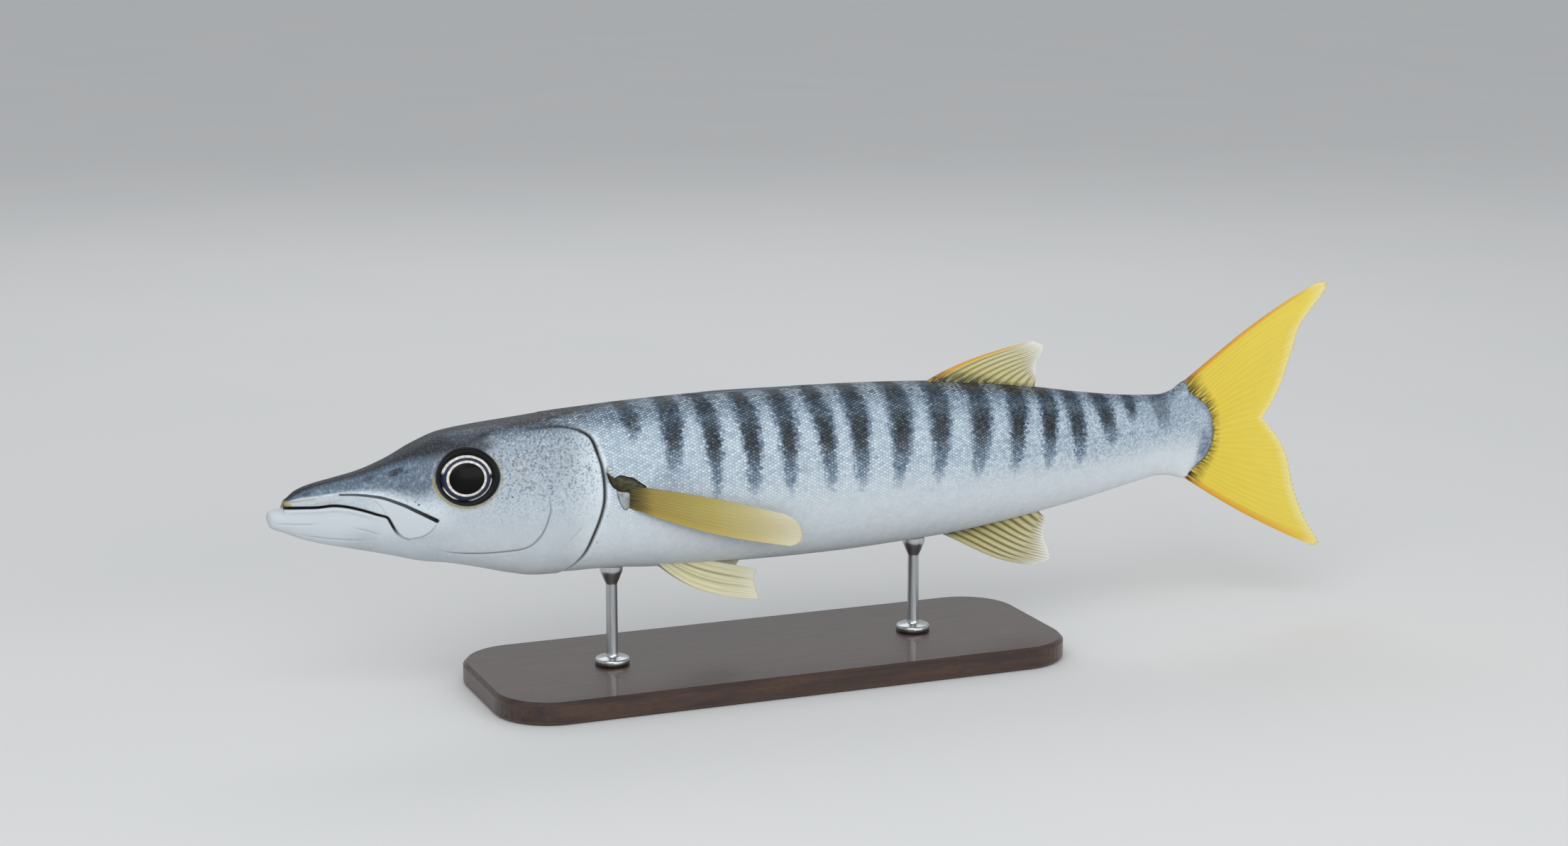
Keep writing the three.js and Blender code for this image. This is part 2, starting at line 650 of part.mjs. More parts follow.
// Stand
function baseGeometry() {
  const { length, width, corner, chamfer, height } = BASE;
  const inset = chamfer;
  const x = length / 2 - inset;
  const y = width / 2 - inset;
  const r = corner - inset;
  const shape = new THREE.Shape();
  shape.moveTo(-x + r, -y);
  shape.lineTo(x - r, -y);
  shape.absarc(x - r, -y + r, r, -Math.PI / 2, 0);
  shape.lineTo(x, y - r);
  shape.absarc(x - r, y - r, r, 0, Math.PI / 2);
  shape.lineTo(-x + r, y);
  shape.absarc(-x + r, y - r, r, Math.PI / 2, Math.PI);
  shape.lineTo(-x, -y + r);
  shape.absarc(-x + r, -y + r, r, Math.PI, 1.5 * Math.PI);
  const geometry = new THREE.ExtrudeGeometry(shape, {
    depth: height - 2 * chamfer, bevelThickness: chamfer, bevelSize: chamfer, bevelSegments: 1, curveSegments: 6,
  });
  geometry.translate(0, 0, chamfer);
  return geometry;
}

// A rod with its foot on the base and its cup cut to the belly
function rodGeometry(x, clearBody) {
  const { radius, foot, footHeight, cup, cupHeight, sides } = ROD;
  const s = x + TOTAL_LENGTH / 2;
  const bottom = BASE.height + GAP;
  const top = zOf(belly(s));
  const profile = [
    [0, bottom], [foot, bottom], [foot, bottom + footHeight - 1.5], [foot - 1.5, bottom + footHeight],
    [radius, bottom + footHeight], [radius, top - cupHeight], [cup, top - 3], [cup, top + 4], [0, top + 4],
  ];
  const geometry = new THREE.LatheGeometry(profile.map(([r, y]) => new THREE.Vector2(r, y)), sides);
  geometry.rotateX(Math.PI / 2);
  geometry.translate(x, 0, 0);
  return geometryOf(solidOf(geometry).subtract(clearBody));
}

// The walls that part the fish, and the body on their near sides
const body = bodySolid(0);
const clearBody = bodySolid(GAP);
const mouthWall = seamWall([...MOUTH_LINE, ...JAW_HINGE_LINE], MOUTH_GAP);
const gillSeam = [...NAPE, ...GILL_OPENING, ...THROAT];
const gillWall = seamWall(gillSeam, GAP);
const beforeGills = beforeLine(gillSeam);
const tailWall = seamWall(FLESH_END, GAP);
const beforeTail = beforeLine(FLESH_END);

// All that lies in front of a line that runs down across the fish
function beforeLine(line) {
  return plateSolid([[AHEAD, -REACH], ...line.toReversed(), [AHEAD, REACH]], -REACH, REACH);
}

// A length of the fish, half a gap short of each end
function lengthOf(solid, from, to) {
  const near = from + GAP / 2;
  const far = to - GAP / 2;
  const outline = [[near, -REACH], [far, -REACH], [far, REACH], [near, REACH]];
  return solid.intersect(plateSolid(outline, -REACH, REACH));
}

const group = new THREE.Group();

function addMesh(name, geometry, material) {
  const mesh = new THREE.Mesh(geometry, material);
  mesh.name = name;
  group.add(mesh);
  return mesh;
}

// A left part and its mirror image on the right
function addPair(name, geometry, material) {
  addMesh(`${name}_left`, geometry, material);
  addMesh(`${name}_right`, mirrored(geometry), material);
}

function addHead() {
  const maxillaParts = maxilla();
  const coverParts = gillCover();
  const eyeRim = solidOf(eyeRimGeometry().applyMatrix4(eyeMatrix()));
  const eyeHole = solidOf(socketGeometry().applyMatrix4(eyeMatrix()));
  const cheekFloor = bodySolid(-CHEEK_GROOVE_DEPTH, CHEEK_GROOVE[0][0] - 12, CHEEK_GROOVE.at(-1)[0] + 9);
  const cheekGroove = seamWall(CHEEK_GROOVE, CHEEK_GROOVE_WIDTH).subtract(cheekFloor);
  let flesh = body.intersect(beforeGills).subtract(gillWall).add(bothSides(eyeRim)).subtract(mouthWall);
  for (const cut of [maxillaParts.pocket, coverParts.pocket, eyeHole, ...nostrilPits()]) {
    flesh = flesh.subtract(bothSides(cut));
  }
  const pieces = flesh.subtract(cheekGroove).decompose().sort((a, b) => b.volume() - a.volume());
  addMesh("head", geometryOf(pieces[0]), FINISH.head);
  addMesh("lower_jaw", geometryOf(pieces[1]), FINISH.jaw);
  addPair("maxilla", geometryOf(maxillaParts.plate.subtract(mouthWall)), FINISH.jaw);
  addPair("gill_cover", geometryOf(coverParts.plate.subtract(gillWall)), FINISH.head);
  addPair("eye", eyeballGeometry().applyMatrix4(eyeMatrix()), FINISH.eye);
}

function addTrunk() {
  const trunk = body.subtract(beforeGills).subtract(gillWall);
  const front = lengthOf(trunk, 0, TRUNK_SPLIT).subtract(finGroove());
  const stalk = lengthOf(trunk, STALK_SPLIT, BODY_END + GAP).intersect(beforeTail).subtract(tailWall);
  addMesh("trunk_front", geometryOf(front), FINISH.back);
  addMesh("trunk_rear", geometryOf(lengthOf(trunk, TRUNK_SPLIT, STALK_SPLIT)), FINISH.back);
  addMesh("tail_stalk", geometryOf(stalk), FINISH.back);
}

function addFins() {
  const tailStalk = beforeTail.add(tailWall);
  addMesh("first_dorsal_fin", geometryOf(foldedFin()), FINISH.paleFin);
  addMesh("second_dorsal_fin", geometryOf(middleFin(SECOND_DORSAL).subtract(clearBody)), FINISH.paleFin);
  addMesh("anal_fin", geometryOf(middleFin(ANAL).subtract(clearBody)), FINISH.paleFin);
  addMesh("caudal_fin_upper", geometryOf(middleFin(CAUDAL_UPPER).subtract(tailStalk)), FINISH.tail);
  addMesh("caudal_fin_lower", geometryOf(middleFin(CAUDAL_LOWER).subtract(tailStalk)), FINISH.tail);
  addPair("pectoral_fin", geometryOf(pectoralFin().subtract(clearBody)), FINISH.pectoral);
  addPair("pelvic_fin", geometryOf(pelvicFin().subtract(clearBody)), FINISH.paleFin);
}

function addStand() {
  addMesh("stand_base", baseGeometry(), FINISH.base).position.x = BASE.centre;
  for (const { name, x } of RODS) {
    addMesh(name, rodGeometry(x, clearBody), FINISH.rod);
  }
}

addHead();
addTrunk();
addFins();
addStand();

export default group;
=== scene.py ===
"""Looks of the barracuda display model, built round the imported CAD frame.

A place on the fish is given in millimetres by s, the distance behind the jaw tip, by y, and by z,
the height above the fork of the tail. Pieces are moved into the row frame, in metres, when made.
"""

import math

import bmesh
import bpy
import numpy as np
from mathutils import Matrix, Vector


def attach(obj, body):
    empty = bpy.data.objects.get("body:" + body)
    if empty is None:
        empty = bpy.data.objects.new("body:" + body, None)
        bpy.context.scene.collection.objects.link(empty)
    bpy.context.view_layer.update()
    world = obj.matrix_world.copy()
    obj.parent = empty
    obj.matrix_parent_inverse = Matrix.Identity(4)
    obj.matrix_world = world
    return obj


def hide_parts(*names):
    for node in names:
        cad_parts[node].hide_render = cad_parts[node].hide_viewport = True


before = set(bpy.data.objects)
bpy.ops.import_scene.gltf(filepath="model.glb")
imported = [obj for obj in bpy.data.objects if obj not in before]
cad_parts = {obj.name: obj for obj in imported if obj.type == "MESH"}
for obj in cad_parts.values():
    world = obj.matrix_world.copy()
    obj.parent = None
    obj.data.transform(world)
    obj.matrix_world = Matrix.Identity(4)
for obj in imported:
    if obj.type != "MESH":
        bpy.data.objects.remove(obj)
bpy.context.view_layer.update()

MM = 0.001
TOTAL_LENGTH = 800
AXIS_HEIGHT = 150

# Camera, at the photograph's angle
LENS = 65.16
SENSOR = 36
CAMERA_YAW = math.radians(22)
CAMERA_RISE = math.radians(11.606)
CAMERA_DISTANCE = 1.969
CAMERA_TARGET = Vector((-0.0376, 0, 0.1752))

# Lamps: name, place, size and power
LAMPS = [
    ("key", (-1.1, -1.9, 1.9), (2.2, 1.6), 30),
    ("fill", (0.8, -2.6, 0.85), (3.0, 0.9), 24),
    ("rim", (0.4, 1.9, 1.8), (2.4, 1.2), 10),
]
FLOOR_SIZE = 60
SKY = "#eef1f4"
SKY_STRENGTH = 0.6

# Body outline, [s, height] seen from the side and [s, half width] seen from above
BACK = [
    (0, -8), (1, -6), (2.2, -5.3), (5, -5), (9.6, -5), (10.6, -1.6), (13, 1.6), (20, 7),
    (30, 10.3), (45, 13.2), (60, 16.2), (80, 22.9), (100, 32.2), (118, 38.3), (140, 41.2),
    (170, 43.8), (200, 46.5), (250, 49.3), (310, 50.7), (360, 50.5), (420, 49.3), (480, 46.4),
    (520, 42.2), (560, 36.3), (600, 29.6), (640, 25), (658, 24.2), (668, 26.4), (680, 33),
    (681.8, 26.8), (690, 22), (698.3, 16), (703, 6), (704.6, -7),
]
BELLY = [
    (0, -11), (1, -15), (2.2, -16.8), (6, -18.8), (12, -21.2), (20, -25), (35, -30),
    (60, -36.4), (80, -41.6), (100, -47.2), (120, -50.6), (140, -55.5), (165, -61.8),
    (185, -63.7), (230, -64.2), (260, -66.4), (310, -67.8), (360, -68.6), (400, -68.2), (440, -66.6),
    (480, -64.4), (520, -60.2), (560, -54.6), (600, -47.8), (640, -39.8), (658, -36.8),
    (668, -37.6), (682, -41), (684.4, -38), (690, -34.2), (697.5, -29.5), (703.5, -20), (704.6, -9),
]
HALF_WIDTH = [
    (0, 2), (1, 4), (2.2, 5.6), (6, 7.2), (12, 8.4), (30, 11.5), (60, 16.5), (80, 20),
    (100, 24), (118, 27.2), (140, 29.6), (165, 32), (200, 35.5), (232, 38), (300, 41),
    (400, 41.5), (480, 37.5), (540, 30.5), (600, 21), (640, 14), (670, 9), (690, 5.6), (704.6, 2.6),
]
WIDEST_LEVEL = [(0, -10), (12, -10), (24, -8), (150, -8), (300, -7), (704.6, -8)]
UPPER_FULLNESS = [(0, 2), (60, 2.2), (110, 2.7), (150, 2.6), (220, 2.3), (400, 2.15), (706, 2)]
LOWER_FULLNESS = [(0, 2.2), (60, 2.3), (150, 2.3), (250, 2.2), (706, 2)]
FLESH_END = 704.6

# Skin grid: steps between rings up to each place, and places from the back down one side
RING_STEPS = [(16, 0.5), (152, 0.62), (224, 0.75), (672, 2.4), (704.6, 0.8)]
FINE_RINGS_END = 224
PLACES_DOWN_SIDE = 230

# Samples of a fin's root or edge, of a span of a curve, of a line of the head, of a section
CURVE_SAMPLES = 200
SAMPLES_A_SPAN = 40
LINE_SAMPLES = 60
FINE_ANGLES = 721

# Map for baking: its margin, and the span that is left of it and of half of it
MAP_MARGIN = 0.01
MAP_SPAN = 1 - 2 * MAP_MARGIN
HALF_MAP_SPAN = 0.5 - 2 * MAP_MARGIN

# How much deeper the skin lies below the scales, and where that begins and is full
COAT_DEPTH = 0.3
COAT_BEGINS = (182, 224)

# Lines of the head
MOUTH = [
    (9.5, -3), (20, -3), (31, -3.2), (41, -2.6), (50, -3.8), (60, -6.6), (69, -9.9), (75, -12),
    (77, -15), (79.4, -19.6), (82, -23.6), (85.4, -26.7), (89.6, -28.2),
]
MAXILLA_REAR = [(89.6, -28.2), (97.7, -26.7), (103, -23.4), (107.2, -18.4)]
MAXILLA_TOP = [
    (46, 4.1), (54, 3.8), (60, 3.2), (67.7, 2), (74, 0.5), (81.5, -2.5), (87, -4.9), (92.3, -7.8),
    (100, -12), (107.2, -16),
]
MAXILLA_FOOT = [*MOUTH[-2::-1], (46, -3)]
MAXILLA_SEAM = [(67, -0.6), (70.5, -3.4), (73, -7), (75.2, -11.4)]
PREOPERCLE = [
    (108, -37.7), (122, -40.4), (140, -41.6), (157, -40.9), (164.5, -40), (170, -37.7), (175, -32.7),
    (178.6, -26.4), (181, -19), (182.3, -12.7), (181.4, -4.5), (178.6, 1.8),
]
COVER_FRONT = [
    (176.5, 40), (176.5, 22), (180.6, 1.3), (182.2, -10.4), (180.2, -23.8), (173, -35), (160, -62),
]
GILL_EDGE = [
    (172, 39.2), (186, 39.8), (195, 39.5), (203.6, 37.7), (210.6, 34), (213.4, 30), (215.4, 22.7),
    (217.6, 13.6), (218.8, 2), (218.6, -10), (216, -21.4), (212.4, -32), (207.4, -46), (201.8, -55),
    (195, -63),
]
GILL_TOP = GILL_EDGE[:7]
CREASES = [
    [(205.5, -23.6), (200, -31), (194.5, -37.3)],
    [(190.5, 29), (194.5, 21), (198, 12), (200, 2)],
    [(2, -12.8), (10, -13.4), (20, -14.2), (33, -14.6)],
    [(18, -21), (34, -24.6), (52, -27), (66, -27.6)],
    [(52, -18), (62, -20.6), (72, -24.6)],
]
LIP_SPREAD = [(0, 1.8), (12, 2.3), (90, 2.4), (150, 6)]
LIP_RISE = 1.0
LIP_WIDTH = 1.5
HEAD_END = 235
HEAD_MARKS_END = 245

# Nostrils: place, level, half length and half height
NOSTRILS = [(82.5, 15.6, 1.9, 1.3), (88.4, 16.8, 2.3, 1.2)]

# Furrows of the cheek and jaw: line, depth and half width
FURROWS = [(PREOPERCLE, 0.45, 0.7), *((crease, 0.3, 0.8) for crease in CREASES)]

# Eyes
EYE_PLACE = (126.8, 11.4)
EYE_RADIUS = 17.6
EYE_HEIGHT_RATIO = 0.885
EYE_DOME = 3.6
EYE_DOME_EDGE = -1.4
ORBIT = {"s": 128, "z": 11.8, "length": 21.6, "height": 18.9}
EYE_SLOPE_REACH = 8
EYE_RINGS = 72
EYE_SPOKES = 160

# Tones of the eye, by where they fade in and out between the centre, 0, and the rim, 1. The
# crescents also fade in and out round the eye, in degrees, and have a strength.
PUPIL_EDGE = (0.645, 0.66)
SILVER_RING = (0.655, 0.675, 0.745, 0.77)
NAVY_RING = (0.76, 0.78, 0.86, 0.9)
CRESCENTS = [
    ((0.865, 0.89, 0.965, 0.985), (2, 14, 156, 166), 1),
    ((0.9, 0.92, 0.955, 0.97), (268, 285, 352, 358), 0.7),
    ((0.9, 0.92, 0.955, 0.97), (196, 206, 236, 250), 1),
]

# Bars of the flank: place at the back, place and level of the lower end, half width, strength
BARS = [
    (241.5, 242, 29, 7, 0.85),
    (271, 267, 7, 7.6, 0.95),
    (296, 297.5, -8, 6.6, 1),
    (324, 324.7, -10, 7.4, 1),
    (351, 351, -10, 7.3, 1),
    (377, 381, -10, 7.3, 1),
    (405, 404, -11, 8, 1),
    (439, 432.5, -12, 9, 1),
    (470, 463.5, -12, 8.6, 0.95),
    (502.5, 495.5, -12, 9, 0.95),
    (534, 526, -12, 8.2, 1),
    (559, 554.5, -13, 7.2, 1),
    (580, 582, -14, 7.2, 0.95),
    (604.5, 610.5, -5, 7.2, 0.95),
    (630, 630, 8, 5.4, 0.9),
    (655, 659, 0, 8.4, 0.6),
]
LATERAL_LINE = [(222, 22), (300, 15), (380, 8), (440, 3), (480, 0.4), (560, 0.2), (700, 0.4)]
DASH_PITCH = 3.4
TAIL_ROOT = [
    (681, 25), (690, 21), (698, 15), (702.6, 6), (704, -8), (702.6, -20), (696, -29), (684, -37),
]

# Spots: place, level, half length, half height and strength. The level of the crown's is the share
# of the way down from the back.
INK_DOTS = [
    (95.5, -4.5, 0.9, 0.8, 0.9), (93.4, -2.4, 0.8, 0.7, 0.6), (150, -3.3, 0.7, 0.6, 0.8),
    (153, -3.4, 0.6, 0.6, 0.7), (156.9, -3, 0.7, 0.9, 0.8), (165.5, 23.7, 0.9, 0.5, 0.7),
    (170, 23.6, 0.9, 0.4, 0.6), (174, 23.5, 0.8, 0.6, 0.7),
]
# Painted sheen: lighter patches on the dark crown that stand in for its highlight
CROWN_SHEEN = [(128, 0.1, 14, 0.07, 0.25), (140, 0.085, 24, 0.035, 0.3)]
CROWN_SPOTS = [
    (82.5, 0.197, 6.2, 0.03, 0.85), (65.5, 0.165, 4.5, 0.03, 0.6), (25, 0.17, 4, 0.03, 0.5),
    (182, 0.12, 12, 0.02, 0.6),
]
BROW = (132, 31, 17, 5, 0.85)
GOLD_SPOTS = [(12.6, -1.6, 3.2, 1.2, 0.8), (160, 19, 4, 4, 0.12), (163, 9.5, 5, 6, 0.12)]
BLUE_SPOTS = [
    (268, 3, 13, 11, 0.35), (520, 37, 80, 12, 0.5), (236, 45, 28, 10, 0.5), (695, -24, 8, 12, 0.5),
    (694, 17, 7, 8, 0.4), (660, 14, 32, 14, 0.34),
]
AXIL_SHADOW = (222.5, 8, 3, 7, 0.7)
TAIL_VIOLET = (696, -15, 8, 13, 0.8)

# Lines of colour: line, half width, softness, share over which the ends fade, and strength
GOLD_LINES = [
    ([(12, -0.2), (22, 1.6), (30, 2.2)], 0.5, 0.5, 0, 0.6),
    ([(30, -0.8), (40, -0.2), (45, 0.6)], 0.6, 0.6, 0, 0.4),
]
FAINT_LINES = [
    (PREOPERCLE, 0.45, 0.45, 0.2, 0.95), (MAXILLA_SEAM, 0.15, 0.4, 0, 0.5),
    (MAXILLA_REAR, 0.2, 0.4, 0.2, 0.6), *((crease, 0.2, 0.5, 0.3, 0.45) for crease in CREASES),
]

# Scales: rows down a side, start of the coat, how far it takes to close, and how far it keeps clear
# of other forms. Each corner of a scale has a place along and across it, a height, and 1 on its rim.
SCALE_ROWS = 68
SCALE_START = 178
SCALE_REACH = 1.75
SCALE_HALF = 0.64
SCALE_STEP = 0.92
SCALE_LIFT = 0.26
SCALE_PATCH = 0.0015
SCALE_SIZES = (0.95, 1.05)
SCALE_STRAY = (1.6, 0.008)
SCALE_SEED = 7
FIRST_SCALES = 20
CLEAR_OF_COVER = 2.2
CLEAR_OF_GROOVE = 0.6
CLEAR_OF_END = 2.5
SCALE_SHAPE = [
    (0.5, 0, 0.8, 0), (-0.35, -0.6, -0.5, 0.6), (-0.35, 0, -0.4, 0.4), (-0.35, 0.6, -0.5, 0.6),
    (0.4, 1, 0.2, 1), (0.86, 0.72, 0.8, 1), (1.06, 0, 1, 0.9), (0.86, -0.72, 0.8, 1), (0.4, -1, 0.2, 1),
]
COAT_PIECES = 3

# Fins: root and edge as in the solids, how deep the root is sunk, bow of the leading ray and where it
# is greatest, number of rays, and height of the rays and half thickness at the root where special
CAUDAL = {"rays": 31, "ridge": 0.2}
SECOND_DORSAL = {
    "rays": 11, "sink": 5, "bow": 4.2, "bow_at": 0.42,
    "root": [(474, 46.4), (500, 44.4), (530, 40.4), (556, 36.4)],
    "edge": [(556, 70.6), (563.6, 66.8), (562, 60), (558, 53.6), (557.4, 44.5)],
}
ANAL = {
    "rays": 11, "sink": 5, "bow": -4.4, "bow_at": 0.62,
    "root": [(483, -64.2), (510, -61.6), (540, -57.4), (560, -54)],
    "edge": [(560, -95.4), (571.6, -92.6), (570.8, -84.9), (567, -75), (567, -61)],
}
CAUDAL_UPPER = {
    "sink": 8, "bow": 4, "bow_at": 0.56,
    "root": [(680, 31.5), (684, 25), (699, 15.5), (703, 6), (704.6, -6)],
    "edge": [
        (791, 99.4), (798.4, 99.6), (799, 94.8), (790.4, 84.2), (777.6, 68.4), (772.8, 53.1), (765, 29.4),
        (757, 13.3), (747.4, -0.2),
    ],
}
CAUDAL_LOWER = {
    "sink": 8, "bow": -3, "bow_at": 0.5,
    "root": [(682.9, -40.6), (688, -35), (698, -28), (703.5, -18), (704.6, -6)],
    "edge": [
        (794.4, -102.8), (799.8, -103), (800, -98.8), (787.6, -80.8), (777.4, -58), (771.4, -35.2),
        (763.6, -19.1), (747.4, -0.2),
    ],
}
PECTORAL = {
    "rays": 13, "ridge": 0.15, "root_half": 1.5,
    "root": [(231, 0.6), (229, -3.4), (229, -9), (231.5, -13.2)],
    "edge": [(345, -27.6), (353.5, -33), (358, -41.5), (357, -47.6), (350, -50.4)],
    "bow": (2.4, -4.2), "lift": [(0, -6), (0.07, 0.6), (0.16, 3.6), (0.4, 6.2), (1, 8.6)],
}
PELVIC = {
    "rays": 7,
    "root": [(276, -12, -57), (259, -15, -57.6)],
    "edge": [(336, -16, -73), (333.4, -18, -80), (336, -21, -93)],
    "bow": -9.6, "bow_at": 0.42,
}
FIRST_DORSAL = {
    "rays": 5, "ridge": 0.2, "root_half": 0.9, "start": 286, "end": 376, "rise": 1.3, "depth": 2.6,
}
GROOVE_HALF = 2.3
GROOVE_DEPTH = 2.4

# Head tones: share of the way down from the back where the dark crown ends, the level over which
# the sides of the snout are dark, and how softly that begins
CROWN_EDGE = [
    (8, 0.09), (20, 0.13), (35, 0.115), (52, 0.105), (66, 0.115), (80, 0.125), (90, 0.155),
    (100, 0.195), (108, 0.22), (128, 0.225), (141, 0.18), (150, 0.13), (166, 0.125), (185, 0.12),
    (205, 0.09), (235, 0.05),
]
SNOUT_SHADE = [
    (8, -1), (20, 2), (46, 4.4), (60, 3.6), (74, 1.2), (81, -2), (92, -7), (100, -10), (235, -10),
]
SNOUT_SOFTNESS = [(8, 1), (20, 1.6), (46, 2.2), (75, 8), (95, 15), (110, 24)]

# Fleshy bases of the pectoral fins: outline, centre and height
FIN_BASES = {
    "axil": (
        [
            (220.4, 9.4), (223.6, 4.6), (226, 5.6), (229, 7), (232, 6.6), (236, 5.4), (239, 4.6),
            (244, 1), (248, -2.4), (242, -5), (237, -5.8), (233, -5), (229.4, -4.4), (226.4, -2.6),
            (223.6, 0), (221.6, 4.4),
        ],
        (232.4, 0.6), 2.0,
    ),
    "flap": (
        [
            (226.6, -3), (232, -4), (239, -4.4), (238.6, -9), (236.4, -14), (234.2, -17.2),
            (232, -17), (229.4, -13), (227.6, -8),
        ],
        (233, -8.6), 1.1,
    ),
}
BASE_RINGS = 24
BASE_SPOKES = 96
BASE_MAP_SIZE = 60

FIN_ROOT_HALF = 2.2
FIN_EDGE_HALF = 0.18
RAY_RIDGE = 0.42
RAY_STEPS = 10
FIN_ROWS = 44
NOTCH = 0.016
RAYS_PART = (0.6, 0.85)
FIN_WEAR = 0.008

# Stand
BASE_TOP = 16
ROD_SPOKES = 64
ROD_GAP = 0.35
RODS = {"stand_rod_front": -165, "stand_rod_rear": 62}
ROD_PROFILE = [
    (0, 0.3), (12, 0.3), (12, 3.6), (11.6, 4.4), (10.8, 4.9), (5.2, 5.3), (4.6, 5.8), (4.2, 7), (4, 8.5),
]
CUP_PROFILE = [(4, -13), (4.3, -11.8), (5.4, -9.6), (7.2, -5), (7.9, -3.4), (8, -2.4), (8, 4)]


def smoothstep(low, high, value):
    part = np.clip((value - low) / (high - low), 0, 1)
    return part * part * (3 - 2 * part)


def band(begin, full, fade, end, value):
    """1 from full to fade, and softly down to 0 at begin and at end."""
    return smoothstep(begin, full, value) * (1 - smoothstep(fade, end, value))


def bell(distance, width):
    return np.exp(-((distance / width) ** 2))


def level_at(line, s):
    """The level at s of a line of straight stretches."""
    return np.interp(s, *np.array(line).T)


def curve_through(stations):
    """A smooth curve through (place, value) stations that never swings past them."""
    places, values = np.array(stations, float).T
    widths = np.diff(places)
    slopes = np.diff(values) / widths
    before = np.concatenate([slopes[:1], slopes])
    after = np.concatenate([slopes, slopes[-1:]])
    total = np.where(before + after == 0, 1, before + after)
    tangents = np.where(before * after <= 0, 0, 2 * before * after / total)

    def at(place):
        place = np.clip(place, places[0], places[-1])
        i = np.clip(np.searchsorted(places, place) - 1, 0, len(widths) - 1)
        t = (place - places[i]) / widths[i]
        rest = 1 - t
        return (
            (1 + 2 * t) * rest * rest * values[i]
            + t * rest * rest * widths[i] * tangents[i]
            + t * t * (3 - 2 * t) * values[i + 1]
            - t * t * rest * widths[i] * tangents[i + 1]
        )

    return at


back = curve_through(BACK)
belly = curve_through(BELLY)
half_width = curve_through(HALF_WIDTH)
widest_level = curve_through(WIDEST_LEVEL)
upper_fullness = curve_through(UPPER_FULLNESS)
lower_fullness = curve_through(LOWER_FULLNESS)
lip_spread = curve_through(LIP_SPREAD)
lateral_line = curve_through(LATERAL_LINE)


def spline(points, count=CURVE_SAMPLES):
    """Points at even distances along a curve through the given ones."""
    p = np.array(points, float)
    padded = np.vstack([2 * p[0] - p[1], p, 2 * p[-1] - p[-2]])
    found = []
    for i in range(len(p) - 1):
        a, b, c, d = padded[i : i + 4]
        t = np.linspace(0, 1, SAMPLES_A_SPAN, endpoint=False)[:, None]
        found.append(
            0.5 * (2 * b + (c - a) * t + (2 * a - 5 * b + 4 * c - d) * t**2 + (3 * b - a - 3 * c + d) * t**3)
        )
    line = np.vstack([*found, p[-1:]])
    run = np.concatenate([[0], np.cumsum(np.linalg.norm(np.diff(line, axis=0), axis=1))])
    even = np.linspace(0, run[-1], count)
    return np.stack([np.interp(even, run, line[:, k]) for k in range(p.shape[1])], axis=1)


def distance_to(line, s, z, rounded=LINE_SAMPLES):
    """Distance of places to a line, and how far along it the nearest point lies, 0 to 1."""
    p = spline(line, rounded) if rounded else np.array(line, float)
    best = np.full(np.shape(s), np.inf)
    along = np.zeros(np.shape(s))
    for i in range(len(p) - 1):
        step = p[i + 1] - p[i]
        t = np.clip(((s - p[i, 0]) * step[0] + (z - p[i, 1]) * step[1]) / (step @ step), 0, 1)
        gap = np.hypot(s - p[i, 0] - t * step[0], z - p[i, 1] - t * step[1])
        nearer = gap < best
        best = np.where(nearer, gap, best)
        along = np.where(nearer, (i + t) / (len(p) - 1), along)
    return best, along


def inside(outline, s, z):
    """Whether places lie within a closed outline."""
    within = np.zeros(np.shape(s), bool)
    p = np.array(outline, float)
    for (s0, z0), (s1, z1) in zip(p, np.roll(p, -1, axis=0)):
        if z0 != z1:
            crosses = (z0 > z) != (z1 > z)
            within ^= crosses & (s < (s1 - s0) * (z - z0) / (z1 - z0) + s0)
    return within


def section_half(s, above):
    """Level, height and fullness of the upper or lower half of a section."""
    level = widest_level(s)
    height = np.where(above, back(s) - level, level - belly(s))
    power = np.where(above, upper_fullness(s), lower_fullness(s))
    return level, np.maximum(height, 0.05), power


def half_width_at(s, z):
    level, height, power = section_half(s, z > widest_level(s))
    part = np.minimum(np.abs(z - level) / height, 1)
    return half_width(s) * (1 - part**power) ** (1 / power)


def section_point(s, angle):
    """Places (s, y, z) of the bare left side, and their normals, by angle down from the back."""
    up, across = np.cos(angle), np.sin(angle)
    level, height, power = section_half(s, up > 0)
    half = half_width(s)
    rise = np.sign(up) * np.abs(up) ** (2 / power)
    side = np.abs(across) ** (2 / power)
    outwards = -(side ** (power - 1)) / half
    upwards = np.sign(rise) * np.abs(rise) ** (power - 1) / height
    normal = np.stack([np.zeros_like(rise), outwards, upwards], axis=-1)
    normal /= np.linalg.norm(normal, axis=-1, keepdims=True)
    return np.stack([s + 0 * rise, -half * side, level + rise * height], axis=-1), normal


def unit(vector):
    return vector / np.linalg.norm(vector)


def eye_frame():
    """Place of the left eye's centre, and its outward, backward and upward directions."""
    s, z = EYE_PLACE
    reach = EYE_SLOPE_REACH
    slope_s = (half_width_at(s + reach, z) - half_width_at(s - reach, z)) / (2 * reach)
    slope_z = (half_width_at(s, z + reach) - half_width_at(s, z - reach)) / (2 * reach)
    out = unit(np.array([-slope_s, -1, -slope_z]))
    along = unit(np.array([1.0, 0, 0]) - out[0] * out)
    return np.array([s, -half_width_at(s, z), z]), out, along, np.cross(out, along)


def eye_distance(points):
    """Distance from the eye's centre in eye radii, and height over the eye's plane."""
    place, out, along, up = eye_frame()
    rel = points - place
    return np.hypot(rel @ along, rel @ up / EYE_HEIGHT_RATIO) / EYE_RADIUS, rel @ out


# Relief of the skin


def cover_edge(s, z):
    """Signed distance to the rear edge of the gill cover, more than 0 on the cover."""
    outline = [*COVER_FRONT[::-1], *spline(GILL_EDGE, LINE_SAMPLES)]
    gap, _ = distance_to(GILL_EDGE, s, z)
    return np.where(inside(outline, s, z), gap, -gap)


